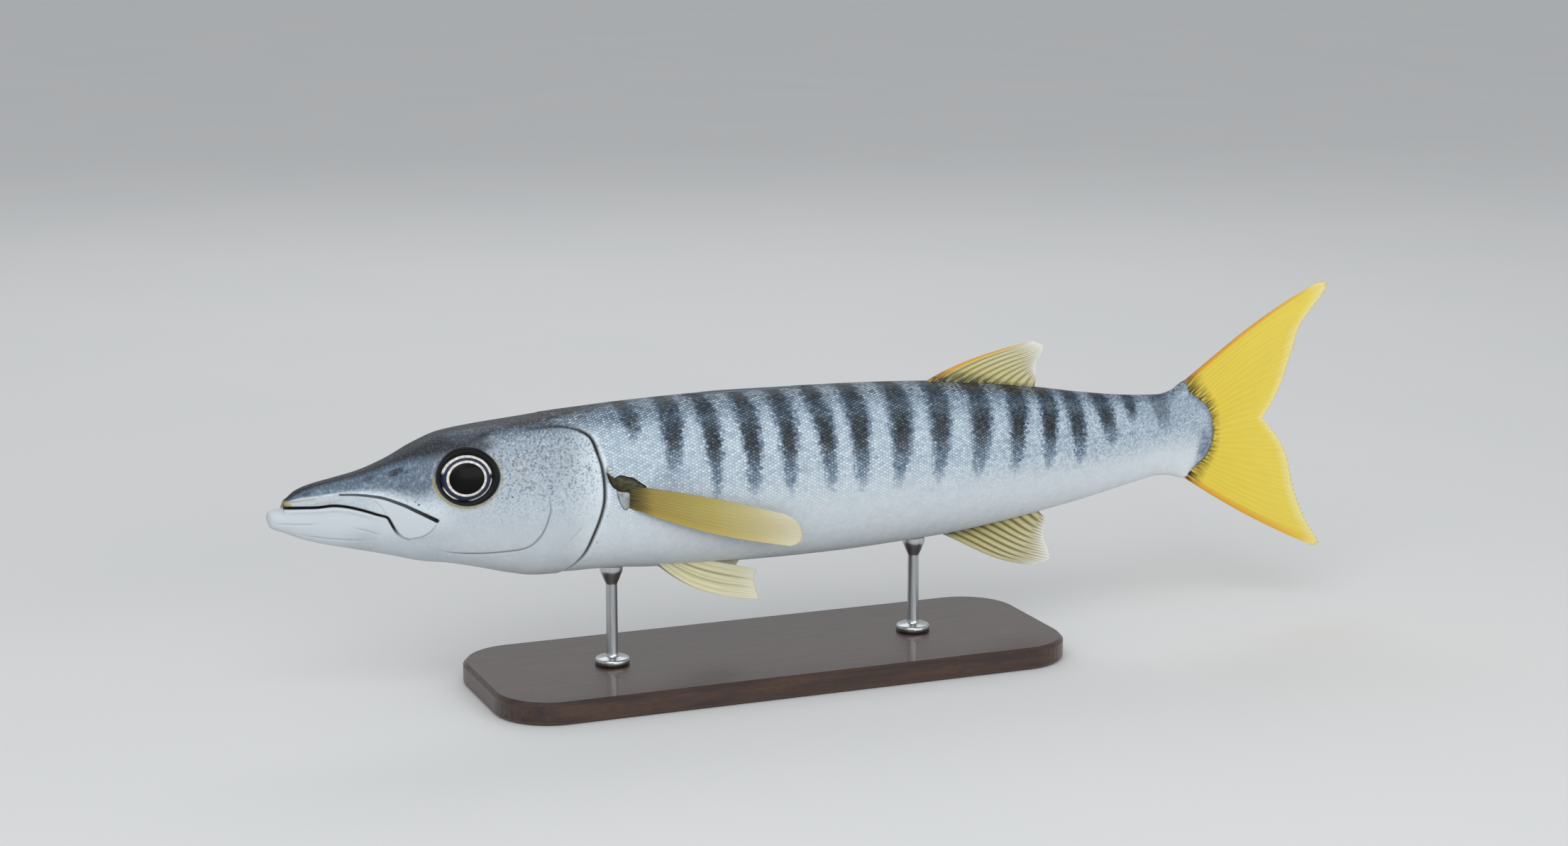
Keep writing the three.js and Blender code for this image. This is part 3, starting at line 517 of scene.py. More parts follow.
def mouth_relief(s, z):
    """Lips that stand out along the mouth, and the slit between them."""
    lips = band(6, 14, 58, 76, s)
    rise = LIP_RISE * lips * bell(np.abs(z - level_at(MOUTH, s)) - lip_spread(s), LIP_WIDTH)
    gap, along = distance_to(MOUTH, s, z)
    return rise - 1.2 * bell(gap, 0.55) * (1 - smoothstep(0.9, 1, along))


def maxilla_relief(s, z):
    """The raised plate of the upper jaw, and the furrows over and behind it."""
    plate = [*spline(MAXILLA_TOP, 30), *spline(MAXILLA_REAR[::-1], 12), *MAXILLA_FOOT]
    edge, _ = distance_to([*plate, plate[0]], s, z, rounded=0)
    rise = 0.8 * smoothstep(-0.3, 1.4, np.where(inside(plate, s, z), edge, -edge)) * smoothstep(46, 60, s)
    gap, along = distance_to(MAXILLA_TOP, s, z)
    rise -= 0.9 * bell(gap, 0.45 + 0.45 * along)
    gap, _ = distance_to(MAXILLA_REAR, s, z)
    return rise - 0.3 * bell(gap, 0.6)


def cover_relief(s, z):
    """The raised gill cover, the cleft behind it, and the furrows of cheek and jaw."""
    signed = cover_edge(s, z)
    front = s - np.interp(z, *np.array(COVER_FRONT[::-1]).T[::-1])
    rise = 0.9 * smoothstep(0, 1.8, signed) * smoothstep(0, 14, front)
    rise -= 1.1 * bell(signed + 0.7, 0.8) * smoothstep(176, 192, s)
    for line, depth, width in FURROWS:
        gap, along = distance_to(line, s, z)
        rise -= depth * bell(gap, width) * np.sin(np.pi * along) ** 0.3
    return rise


def nostril_relief(s, z):
    """The pits of the nostrils, each with a low rim."""
    rise = np.zeros(np.shape(s))
    for place, level, length, height in NOSTRILS:
        pit = np.hypot((s - place) / length, (z - level) / height)
        rise += 0.25 * bell(pit - 1.3, 0.3) - 1.4 * (1 - smoothstep(0.5, 1.1, pit))
    return rise


def relief(points):
    """How far the skin stands out over the bare body, in millimetres."""
    s, z = points[..., 0], points[..., 2]
    out = -COAT_DEPTH * smoothstep(*COAT_BEGINS, s)
    head = s < HEAD_END
    place = s[head], z[head]
    rise = mouth_relief(*place) + maxilla_relief(*place) + cover_relief(*place) + nostril_relief(*place)

    away, height = eye_distance(points[head])
    near = 1 - smoothstep(1.06, 1.42, away)
    rise = rise * (1 - near) - near * (height + 0.1)
    rise += 0.5 * bell(away - 1.12, 0.07) - 6 * (1 - smoothstep(0.88, 1.0, away))
    out[head] += rise

    start, end = FIRST_DORSAL["start"], FIRST_DORSAL["end"]
    inner = 1 - smoothstep(GROOVE_HALF - 0.9, GROOVE_HALF + 0.3, np.abs(points[..., 1]))
    groove = band(start - 2, start + 2, end - 2, end + 2, s) * inner * (z > widest_level(s))
    return out - GROOVE_DEPTH * groove


def ring_places():
    places = [0.0]
    for end, step in RING_STEPS:
        count = max(1, round((end - places[-1]) / step))
        places.extend(np.linspace(places[-1], end, count + 1)[1:])
    return np.array(places)


def half_skin():
    """The left half of the skin: rings, places on them, normals and lengths down the side."""
    rings = ring_places()
    fine = np.linspace(0, math.pi, FINE_ANGLES)
    points, _ = section_point(rings[:, None], fine[None, :])
    steps = np.linalg.norm(np.diff(points, axis=1), axis=2)
    run = np.concatenate([np.zeros((len(rings), 1)), np.cumsum(steps, axis=1)], axis=1)
    even = np.linspace(0, 1, PLACES_DOWN_SIDE + 1)
    angles = np.stack([np.interp(even * r[-1], r, fine) for r in run])
    bare, normals = section_point(rings[:, None], angles)
    return rings, bare, normals, run[:, -1]


RINGS, BARE, NORMALS, SIDE_LENGTH = half_skin()
SKIN = BARE + NORMALS * relief(BARE)[..., None]


def on_skin(s, q, grid):
    """A grid's value at s and at the share q of the way from the back's middle line to the belly's."""
    i = np.interp(s, RINGS, np.arange(len(RINGS)))
    j = np.clip(q, 0, 1) * PLACES_DOWN_SIDE
    i0 = np.minimum(i.astype(int), len(RINGS) - 2)
    j0 = np.minimum(j.astype(int), PLACES_DOWN_SIDE - 1)
    a, b = (i - i0)[..., None], (j - j0)[..., None]
    top = grid[i0, j0] * (1 - b) + grid[i0, j0 + 1] * b
    low = grid[i0 + 1, j0] * (1 - b) + grid[i0 + 1, j0 + 1] * b
    return top * (1 - a) + low * a


# Markings, each a number from 0 to 1 for every place


def bar_marks(s, z):
    """The dark cores and the blue fringes of the bars."""
    core = np.zeros(np.shape(s))
    fringe = np.zeros(np.shape(s))
    for top, low, level, half, strength in BARS:
        t = (z - level) / (back(top) - level)
        middle = low + (top - low) * t
        width = half * np.clip(t + 0.18, 0, 1) ** 0.62 * (1 - 0.15 * smoothstep(0.75, 1, t))
        away = np.abs(s - middle) / np.maximum(width, 0.3)
        reach = smoothstep(-0.2, 0.12, t)
        deep = smoothstep(0.08, 0.5, t) * (1 - 0.3 * bell(t - 0.8, 0.1))
        core = np.maximum(core, strength * (1 - smoothstep(0.55, 1.3, away)) * deep)
        fringe = np.maximum(fringe, strength * (1 - smoothstep(0.85, 1.8, away)) * reach)
    return core, fringe


def line_mark(line, s, z, width, soft=0.35, fade=0.0):
    gap, along = distance_to(line, s, z)
    mark = 1 - smoothstep(width - soft, width + soft, gap)
    if fade:
        mark *= smoothstep(0, fade, along) * (1 - smoothstep(1 - fade, 1, along))
    return mark


def spot(s, z, place, level, length, height, strength=1.0):
    away = np.hypot((s - place) / length, (z - level) / height)
    return strength * (1 - smoothstep(0.55, 1.15, away))


def strongest(*marks):
    """The strongest of several marks at each place."""
    return np.maximum.reduce(np.broadcast_arrays(*marks))


def spots(table, s, z):
    return strongest(*(spot(s, z, *form) for form in table))


def lines(table, s, z):
    return strongest(*(strength * line_mark(line, s, z, *form) for line, *form, strength in table))


def orbit_distance(s, z):
    return np.hypot((s - ORBIT["s"]) / ORBIT["length"], (z - ORBIT["z"]) / ORBIT["height"])


def ink_mark(s, z):
    """Black of the mouth, the upper jaw's fold, the gill opening, the orbit and some dots."""
    mouth = line_mark(MOUTH, s, z, 0.95) * (1 - 0.75 * smoothstep(79, 84, s))
    gap, along = distance_to(MAXILLA_TOP, s, z)
    fold = (1 - smoothstep(0, 0.4, gap - 0.5 - 0.65 * along)) * (0.75 + 0.25 * along)
    gap, along = distance_to(GILL_EDGE, s, z)
    width = 0.7 + 0.6 * np.sin(np.pi * along) + 0.5 * smoothstep(0.6, 1, along)
    gill = 0.95 * (1 - smoothstep(-0.5, 0.8, gap - width))
    gill *= 0.5 * smoothstep(178, 188, s) + 0.5 * smoothstep(200, 211, s)
    orbit = 1 - smoothstep(0.965, 1.03, orbit_distance(s, z))
    return strongest(mouth, fold, gill, orbit, spots(INK_DOTS, s, z))


def crown_mark(s, z, q):
    """The dark crown, lightened by painted sheen and with darker places, and the dark top of the gill
    opening.
    """
    crown = 1 - smoothstep(-0.045, 0.035, q - level_at(CROWN_EDGE, s))
    crown *= 1 - 0.4 * smoothstep(205, 235, s)
    # Lighten the crown where its sheen is painted
    for form in CROWN_SHEEN:
        crown *= 1 - spot(s, q, *form)
    gill_top = 0.8 * line_mark(GILL_TOP, s, z, 1.2, 1.1)
    return strongest(crown, spots(CROWN_SPOTS, s, q), gill_top, spot(s, z, *BROW))


def shade_marks(s, z):
    """The dusky sides of snout and cheek with painted shade under the lower jaw, and the bare white of jaw,
    lip and upper jaw's plate.
    """
    level = level_at(SNOUT_SHADE, s)
    past_snout = smoothstep(98, 128, s)
    # Painted shade on the underside of the lower jaw, darker downwards
    jaw_underside_shade = smoothstep(-12, -30, z) * smoothstep(40, 66, s)
    shade = smoothstep(0, 1, (z - level) / level_at(SNOUT_SOFTNESS, s)) * (1 - past_snout)
    shade += (0.26 + 0.34 * smoothstep(-24, 26, z)) * past_snout * (1 - smoothstep(190, 219, s))
    shade += 0.4 * jaw_underside_shade * (1 - past_snout)

    lip = 0.6 * band(9, 14, 60, 84, s) * (1 - smoothstep(-0.7, 0.5, z - level))
    jaw = (1 - smoothstep(-1.5, 0.5, z - level_at(MOUTH, s))) * (1 - smoothstep(86, 112, s))
    # Less white under the lower jaw, where its painted shade lies
    jaw *= 1 - 0.6 * smoothstep(-14, -30, z) * smoothstep(40, 66, s)
    plate = inside([*MAXILLA_TOP, *MAXILLA_REAR[::-1], *MAXILLA_FOOT], s, z)
    plate = plate * (0.6 + 0.4 * smoothstep(58, 80, s))
    shade = strongest(shade, lip, plate * (1 - smoothstep(58, 80, s)))
    return shade, strongest(lip, jaw, plate)


def gold_mark(s, z):
    """Gilt on the tip and lip of the snout, round the eye from below, and on the cheek."""
    orbit = orbit_distance(s, z)
    below = (ORBIT["z"] - z) / ORBIT["height"] + 0.4 * (ORBIT["s"] - s) / ORBIT["length"]
    under_eye = smoothstep(0.1, 0.6, below) * bell(orbit - 1.05, 0.035)
    behind_eye = 0.6 * bell(orbit - 1.04, 0.03) * smoothstep(140, 148, s)
    return strongest(spots(GOLD_SPOTS, s, z), lines(GOLD_LINES, s, z), under_eye, behind_eye)


def head_marks(s, z, q):
    shade, bare = shade_marks(s, z)
    return {
        "ink": ink_mark(s, z),
        "crown": crown_mark(s, z, q),
        "shade": shade,
        "bare": bare,
        "gold": gold_mark(s, z),
        "faint": lines(FAINT_LINES, s, z),
    }


def markings(points, q):
    """Every marking of skin and scales at the given places, q being the share down from the back."""
    s, z = points[..., 0], points[..., 2]
    height = (z - belly(s)) / np.maximum(back(s) - belly(s), 1)
    core, fringe = bar_marks(s, z)
    dashes = 0.5 + 0.5 * np.sin(s * 2 * np.pi / DASH_PITCH)
    line = 1 - smoothstep(0.3, 0.9, np.abs(z - lateral_line(s)))
    line = 0.5 * line * dashes * smoothstep(224, 240, s)
    fringe = strongest(fringe, line, spots(BLUE_SPOTS, s, z))
    marks = {"height": height, "bar": core, "fringe": fringe}
    head = s < HEAD_MARKS_END
    for name, value in head_marks(s[head], z[head], q[head]).items():
        marks[name] = np.zeros(np.shape(s))
        marks[name][head] = value

    fin_base = 0.8 * band(466, 486, 556, 566, s) * smoothstep(-6, -2, z - back(s))
    gap, _ = distance_to(TAIL_ROOT, s, z)
    near_tail = smoothstep(682, 690, s)
    tail_edge = 0.9 * (1 - smoothstep(0.8, 3.6, gap)) * near_tail
    # Olive of the second dorsal fin's base and of the tail's root, with a painted shadow at the top of the
    # pectoral axil
    marks["olive_and_axil_shadow"] = strongest(spot(s, z, *AXIL_SHADOW), fin_base, tail_edge)
    marks["violet"] = near_tail * strongest(spot(s, z, *TAIL_VIOLET), 0.4 * (1 - smoothstep(2, 9, gap)))
    return marks


# Meshes


def to_frame(points):
    return (np.asarray(points) + np.array([-TOTAL_LENGTH / 2, 0, AXIS_HEIGHT])) * MM


def mirrored(points):
    return points * np.array([1, -1, 1])


def new_piece(name, points, faces, material, marks=None, uv=None, side="left"):
    """A mesh of places in millimetres, with its marks as attributes and its map for baking."""
    faces = np.asarray(faces, np.int32)
    if side == "right":
        points, faces = mirrored(points), faces[:, ::-1]
    mesh = bpy.data.meshes.new(name)
    mesh.vertices.add(len(points))
    mesh.vertices.foreach_set("co", to_frame(points).astype(np.float32).ravel())
    mesh.loops.add(faces.size)
    mesh.loops.foreach_set("vertex_index", faces.ravel())
    mesh.polygons.add(len(faces))
    mesh.polygons.foreach_set("loop_start", np.arange(0, faces.size, faces.shape[1], dtype=np.int32))
    mesh.polygons.foreach_set("use_smooth", np.ones(len(faces), bool))
    for mark, values in (marks or {}).items():
        layer = mesh.attributes.new(mark, "FLOAT", "POINT")
        layer.data.foreach_set("value", np.asarray(values, np.float32).ravel())
    if uv is not None:
        corners = np.asarray(uv, np.float32)[faces]
        across_seam = np.ptp(corners, axis=1, keepdims=True) > 0.5
        corners = np.where(across_seam & (corners < 0.5), corners + MAP_SPAN, corners)
        layer = mesh.uv_layers.new(name="OFBake")
        layer.data.foreach_set("uv", corners.ravel())
    mesh.update(calc_edges=True)
    mesh.validate()
    mesh.materials.append(material)
    piece = bpy.data.objects.new(name, mesh)
    bpy.context.scene.collection.objects.link(piece)
    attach(piece, "root")
    return piece


def on_map(share):
    """A share from 0 to 1 as a place on the map, inside its margin."""
    return MAP_MARGIN + MAP_SPAN * share


def ring_faces(rings, around):
    """Quads between rings of points that are stored one ring after the other."""
    r = np.arange(rings - 1)[:, None]
    c = np.arange(around)[None, :]
    d = (c + 1) % around
    corners = [r * around + c, (r + 1) * around + c, (r + 1) * around + d, r * around + d]
    return np.stack(corners, axis=-1).reshape(-1, 4)


# Materials


def linear(colour):
    """A colour written as #rrggbb, as a linear RGBA."""
    parts = [int(colour[i : i + 2], 16) / 255 for i in (1, 3, 5)]
    return (*(c / 12.92 if c <= 0.04045 else ((c + 0.055) / 1.055) ** 2.4 for c in parts), 1)


class Look:
    """A material whose colour is built up in layers."""

    def __init__(self, name, roughness, coat=0.0, coat_roughness=0.12, specular=0.5, metallic=0.0):
        self.material = bpy.data.materials.new(name)
        self.material.use_nodes = True
        self.tree = self.material.node_tree
        self.shader = self.tree.nodes["Principled BSDF"]
        self.shader.inputs["Roughness"].default_value = roughness
        self.shader.inputs["Coat Weight"].default_value = coat
        self.shader.inputs["Coat Roughness"].default_value = coat_roughness
        self.shader.inputs["Specular IOR Level"].default_value = specular
        self.shader.inputs["Metallic"].default_value = metallic
        self.place = self.tree.nodes.new("ShaderNodeTexCoord").outputs["Object"]
        self.colour = None

    def node(self, kind, **inputs):
        made = self.tree.nodes.new(kind)
        for name, value in inputs.items():
            self.set(made.inputs[name.replace("_", " ")], value)
        return made

    def set(self, socket, value):
        if isinstance(value, bpy.types.NodeSocket):
            self.tree.links.new(value, socket)
        else:
            socket.default_value = linear(value) if isinstance(value, str) else value

    def mark(self, name):
        made = self.tree.nodes.new("ShaderNodeAttribute")
        made.attribute_name = name
        return made.outputs["Fac"]

    def ramp(self, factor, stops):
        made = self.node("ShaderNodeValToRGB", Fac=factor)
        elements = made.color_ramp.elements
        for element, (place, colour) in zip(elements, stops):
            element.position, element.color = place, linear(colour)
        for place, colour in stops[2:]:
            elements.new(place).color = linear(colour)
        return made.outputs["Color"]

    def math(self, how, a, b=0.0, clamp=False):
        made = self.tree.nodes.new("ShaderNodeMath")
        made.operation = how
        made.use_clamp = clamp
        self.set(made.inputs[0], a)
        self.set(made.inputs[1], b)
        return made.outputs[0]

    def times(self, a, b):
        return self.math("MULTIPLY", a, b, clamp=True)

    def rest(self, value):
        """What a value leaves to 1."""
        return self.math("SUBTRACT", 1.0, value, clamp=True)

    def noise(self, scale, detail=3, stretch=(1, 1, 1)):
        place = self.node("ShaderNodeMapping", Vector=self.place, Scale=stretch).outputs["Vector"]
        return self.node("ShaderNodeTexNoise", Vector=place, Scale=scale, Detail=detail).outputs["Fac"]

    def spread(self, value, low, high):
        """The value drawn out so that low becomes 0 and high 1."""
        made = self.node("ShaderNodeMapRange", Value=value, From_Min=low, From_Max=high)
        return made.outputs["Result"]

    def lay(self, factor, colour, how="MIX"):
        """Lays a colour over what is there by a factor."""
        made = self.tree.nodes.new("ShaderNodeMix")
        made.data_type = "RGBA"
        made.blend_type = how
        self.set(made.inputs["Factor"], factor)
        self.set(made.inputs["A"], self.colour)
        self.set(made.inputs["B"], colour)
        self.colour = made.outputs["Result"]

    def finish(self, bump=None, strength=0.2, depth=0.0002):
        self.set(self.shader.inputs["Base Color"], self.colour)
        if bump is not None:
            made = self.node("ShaderNodeBump", Height=bump, Strength=strength, Distance=depth)
            self.set(self.shader.inputs["Normal"], made.outputs["Normal"])
        return self.material


# Tones of the flesh from belly, 0, to back, 1
FLANK_TONES = [
    (0, "#dadfe2"), (1, "#3d4853"), (0.2, "#d4dade"), (0.37, "#ccd3d8"), (0.55, "#d2dce3"),
    (0.74, "#d8e2e9"), (0.89, "#c6d3dd"), (0.955, "#6f8190"),
]

# Markings from below to above: mark, the noise that breaks it up with the values of it that count
# as 0 and 1, and colour
FLESH_MARKS = [
    ("shade", "blotchy", -0.3, 0.5, "#5b6b7c"),
    ("fringe", "fine", 0.1, 0.6, "#3d5f7d"),
    ("bar", "fine", -0.1, 0.35, "#292f35"),
    ("crown", "drawn_out", -0.15, 0.4, "#303336"),
    ("bare", None, 0, 1, "#c3cbd0"),
    ("violet", "blotchy", 0.1, 0.6, "#3a4f78"),
    # Olive of the fin bases and the tail's root, with a painted shadow at the top of the pectoral axil
    ("olive_and_axil_shadow", "fine", 0, 0.5, "#3b3823"),
    ("gold", None, 0, 1, "#a8954a"),
    ("faint", None, 0, 1, "#5f5d61"),
    ("ink", None, 0, 1, "#08090a"),
]

# Specks of the bare skin: mark, scale, detail and stretch of the noise, its values for 0 and 1,
# and colour
SPECKS = [
    ("speck", 640, 4, (1, 1, 1), 0.5, 0.66, "#475767"),
    ("russet", 640, 2, (1, 1, 1.2), 0.6, 0.7, "#7d6a52"),
    ("glint", 520, 4, (1.3, 1, 1), 0.5, 0.68, "#c3d2dd"),
]


def flesh_look(name, scaled):
    """Skin or scales: silver belly, blue-grey back, bars and the marks of the head."""
    look = Look(name, 0.47, coat=0.03, coat_roughness=0.25, specular=0.15)
    look.colour = look.ramp(look.mark("height"), FLANK_TONES)
    cloudy = look.noise(140, 4)
    drawn_out = look.noise(300, 4, (0.25, 1, 1))
    noises = {"blotchy": look.noise(330), "fine": look.noise(900), "drawn_out": drawn_out}
    look.lay(look.times(look.spread(cloudy, 0.4, 0.75), 0.22), "#a9bccb")
    look.lay(look.times(look.spread(noises["blotchy"], 0.5, 0.7), 0.3), "#d9e1e6")
    for mark, noise, low, high, colour in FLESH_MARKS:
        factor = look.mark(mark)
        if noise:
            factor = look.times(factor, look.spread(noises[noise], low, high))
        look.lay(factor, colour)
    if scaled:
        rim = look.mark("rim")
        # Pale scale centres: partly their own silver and partly a painted highlight
        look.lay(look.times(look.rest(rim), look.mark("pale")), "#e2ebf1")
        look.lay(look.times(rim, look.mark("net")), "#9eafbd", "MULTIPLY")
        look.lay(look.mark("tint"), "#90a4b5", "MULTIPLY")
        return look.finish(look.noise(1500), 0.15, 0.00025)
    for mark, scale, detail, stretch, low, high, colour in SPECKS:
        dots = look.spread(look.noise(scale, detail, stretch), low, high)
        look.lay(look.times(dots, look.mark(mark)), colour)
    return look.finish(look.noise(700), 0.22, 0.00025)


def skin_marks(q):
    """The markings of one side of the skin, with specks and glints between them."""
    marks = markings(BARE, q)
    s, z = BARE[..., 0], BARE[..., 2]
    cheek = band(120, 160, 205, 222, s)
    clear = (1 - marks["bare"]) * (1 - marks["ink"])
    speck = band(16, 30, 222, 240, s) * smoothstep(-34, 14, z) * clear
    marks["speck"] = speck * (0.36 + 0.44 * cheek + 0.25 * marks["shade"] * (1 - cheek))
    marks["russet"] = 0.75 * speck * smoothstep(-8, 24, z) * smoothstep(60, 140, s)
    marks["glint"] = speck * (0.22 + 0.34 * cheek) * (1 - 0.85 * marks["crown"])
    return marks


def skin_piece(look):
    """One skin from the jaw tip to the root of the tail fin."""
    rows = len(SKIN)
    ring = np.concatenate([SKIN, mirrored(SKIN[:, -2:0:-1])], axis=1)
    around = ring.shape[1]
    marks = skin_marks(np.broadcast_to(np.linspace(0, 1, PLACES_DOWN_SIDE + 1), BARE.shape[:2]))
    both = {name: np.concatenate([v, v[:, -2:0:-1]], axis=1) for name, v in marks.items()}
    lengths = np.diff(RINGS) / np.where(RINGS[1:] < FINE_RINGS_END, 1, 2)
    share = np.cumsum(np.concatenate([[0], lengths]))
    u = np.repeat(on_map(share / share[-1]), around)
    v = np.tile(on_map(np.arange(around) / around), rows)
    faces = ring_faces(rows, around)
    piece = new_piece("skin", ring.reshape(-1, 3), faces, look, both, np.stack([u, v], axis=-1))
    cap_ends(piece, rows, around)
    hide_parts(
        "head", "lower_jaw", "maxilla_left", "maxilla_right", "gill_cover_left", "gill_cover_right",
        "trunk_front", "trunk_rear", "tail_stalk",
    )


def cap_ends(piece, rows, around):
    """Closes the first and the last ring of the skin."""
    shell = bmesh.new()
    shell.from_mesh(piece.data)
    shell.verts.ensure_lookup_table()
    shell.faces.new([shell.verts[i] for i in range(around)]).smooth = True
    last = (rows - 1) * around
    shell.faces.new([shell.verts[last + i] for i in reversed(range(around))]).smooth = True
    shell.to_mesh(piece.data)
    shell.free()


def scale_roots(part, length_at, dice):
    """Places and shares down the side of the roots of one part of the scales."""
    columns = [float(SCALE_START)]
    while columns[-1] < FLESH_END - CLEAR_OF_END:
        columns.append(columns[-1] + SCALE_STEP * length_at(columns[-1]) / SCALE_ROWS)
    odd = np.arange(len(columns)) % 2
    s = np.repeat(columns, SCALE_ROWS)
    q = ((np.arange(SCALE_ROWS)[None, :] + 0.25 + 0.5 * odd[:, None]) / SCALE_ROWS).ravel()
    root = on_skin(s, q, BARE)
    keep = cover_edge(s, root[:, 2]) < -CLEAR_OF_COVER
    in_groove = (np.abs(root[:, 1]) < GROOVE_HALF + CLEAR_OF_GROOVE) & (root[:, 2] > 0)
    keep &= ~(in_groove & (s > FIRST_DORSAL["start"] - 5) & (s < FIRST_DORSAL["end"] + 2))
    share = (s - SCALE_START) / (FLESH_END - SCALE_START) * COAT_PIECES
    keep &= share.astype(int) == part
    keep &= dice.uniform(0, 1, len(s)) < smoothstep(SCALE_START, SCALE_START + FIRST_SCALES, s)
    for outline, _, _ in FIN_BASES.values():
        keep &= ~inside(outline, s, root[:, 2])
    return s[keep], q[keep]


def scale_marks(root_s, s, q, dice):
    """Markings of the scales, read a little astray so that the edges of the bars are ragged."""
    one_each = (len(s), 1)
    stray_s, stray_q = SCALE_STRAY
    strayed_s = s + dice.uniform(-stray_s, stray_s, one_each)
    strayed_q = q + dice.uniform(-stray_q, stray_q, one_each)
    marks = markings(on_skin(strayed_s, strayed_q, BARE), strayed_q)
    marks["rim"] = np.broadcast_to([corner[3] for corner in SCALE_SHAPE], s.shape)
    marks["net"] = 0.12 + 0.6 * smoothstep(0.3, 0.62, marks["height"])
    # Pale centres of the scales: partly their own silver and partly a painted highlight
    pale = marks["net"] * (1 - 0.74 * marks["bar"])
    pale = pale * (1 - 0.5 * marks["fringe"]) * (1 - 0.8 * marks["crown"])
    marks["pale"] = np.minimum(pale * dice.uniform(0.2, 1.8, one_each), 1)
    stalk = smoothstep(400, 620, root_s)[:, None]
    flank = smoothstep(0.34 - 0.08 * stalk, 0.64 - 0.08 * stalk, marks["height"])
    marks["tint"] = dice.uniform(0, 1, one_each) * (0.08 + (0.36 + 0.3 * stalk) * flank)
    return marks


def scale_coat(side, part, look):
    """One part of the scales of one side: thin overlapping plates that lie towards the tail."""
    length_at = curve_through(list(zip(RINGS, SIDE_LENGTH)))
    dice = np.random.default_rng(SCALE_SEED + part)
    s, q = scale_roots(part, length_at, dice)
    along, across, rise, _ = np.array(SCALE_SHAPE).T
    pitch = length_at(s)[:, None] / SCALE_ROWS
    size = pitch * dice.uniform(*SCALE_SIZES, (len(s), 1))
    vertex_s = np.minimum(s[:, None] + along * size * SCALE_REACH, FLESH_END - 0.6)
    vertex_q = q[:, None] + across * size * SCALE_HALF / length_at(s)[:, None]
    lift = SCALE_LIFT * rise * np.minimum(pitch / 2, 1)
    points = on_skin(vertex_s, vertex_q, SKIN) + on_skin(vertex_s, vertex_q, NORMALS) * lift[..., None]
    marks = scale_marks(s, vertex_s, vertex_q, dice)

    count = len(SCALE_SHAPE)
    rim = np.arange(1, count)
    fan = np.stack([np.zeros(count - 1, int), rim, np.roll(rim, -1)], axis=1)
    faces = (np.arange(len(s))[:, None, None] * count + fan).reshape(-1, 3)
    patch = np.stack([along - 0.35, across], axis=1) * SCALE_PATCH
    uv = np.stack([on_map((s - SCALE_START) / (FLESH_END - SCALE_START)), on_map(q)], axis=1)
    uv = (uv[:, None, :] + patch).reshape(-1, 2)
    piece = new_piece(f"scales_{side}_{part + 1}", points.reshape(-1, 3), faces, look, marks, uv, side)


# Fins


def ray_marks(u, v, rays):
    """How far a place is up on a ray, 0 to 1; the rays part in two towards the edge."""
    phase = 2 * np.pi * u * (rays - 1)
    one, two = (0.5 + 0.5 * np.cos(phase * k) for k in (1, 2))
    parted = smoothstep(*RAYS_PART, v)
    return one**2 * (1 - parted) + two**1.4 * parted


def fin_piece(name, place, fin, look, replaced, side="left"):
    """A fin as a thin closed sheet, thicker on its rays."""
    columns = (fin["rays"] - 1) * RAY_STEPS + 1
    u, v = np.meshgrid(np.linspace(0, 1, columns), np.linspace(0, 1, FIN_ROWS), indexing="xy")
    dice = np.random.default_rng(len(name))
    ray = ray_marks(u, v, fin["rays"])
    worn = dice.uniform(0, FIN_WEAR, columns) * smoothstep(0.8, 1, v)
    middle = place(u, v * (1 - NOTCH * (1 - ray) * smoothstep(0.6, 1, v)) - worn)
    normal = np.cross(np.gradient(middle, axis=1), np.gradient(middle, axis=0))
    normal /= np.maximum(np.linalg.norm(normal, axis=-1, keepdims=True), 1e-9)
    half = FIN_EDGE_HALF + (fin.get("root_half", FIN_ROOT_HALF) - FIN_EDGE_HALF) * (1 - v) ** 3
    half = half + fin.get("ridge", RAY_RIDGE) * (1 - 0.75 * v) * ray
    out = normal * half[..., None]
    points = np.concatenate([middle + out, (middle - out)[:, ::-1]], axis=1).reshape(-1, 3)
    around = 2 * columns
    c = np.arange(columns - 1)
    root = np.stack([c, c + 1, around - 2 - c, around - 1 - c], axis=1)
    tip = root[:, ::-1] + (FIN_ROWS - 1) * around
    faces = np.vstack([ring_faces(FIN_ROWS, around), root, tip])
    from_root = np.linalg.norm(middle - middle[:1], axis=-1)
    marks = {"ray": ray, "out": v, "across": u, "from_root": from_root}
    marks = {k: np.concatenate([m, m[:, ::-1]], axis=1) for k, m in marks.items()}
    half_map = MAP_MARGIN + HALF_MAP_SPAN * u
    both_u = np.concatenate([half_map, 0.5 + half_map], axis=1)
    both_v = on_map(np.concatenate([v, v], axis=1))
    uv = np.stack([both_u, both_v], axis=-1).reshape(-1, 2)
    piece = new_piece(name, points, faces, look, marks, uv, side)
    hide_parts(*replaced)


def pick(curve, u):
    """Points of a sampled curve at the shares u of its length."""
    at = np.clip(u, 0, 1) * (len(curve) - 1)
    low = np.minimum(at.astype(int), len(curve) - 2)
    part = (at - low)[..., None]
    return curve[low] * (1 - part) + curve[low + 1] * part


def middle_place(fin):
    """Places of a fin that stands in the middle plane."""
    root_curve, edge_curve = spline(fin["root"]), spline(fin["edge"])
    power = math.log(0.5) / math.log(fin["bow_at"])

    def place(u, v):
        root, edge = pick(root_curve, u), pick(edge_curve, u)
        length = np.linalg.norm(edge - root, axis=-1, keepdims=True)
        along = (edge - root) / length
        point = root - along * fin["sink"] + along * (length + fin["sink"]) * v[..., None]
        bow = fin["bow"] * (1 - u) ** 0.7 * np.sin(np.pi * np.clip(v, 0, 1) ** power)
        flat = point + np.stack([-along[..., 1], along[..., 0]], axis=-1) * bow[..., None]
        ripple = 0.5 * v * np.sin(7 * u + 3 * v)
        return np.stack([flat[..., 0], ripple, flat[..., 1]], axis=-1)

    return place


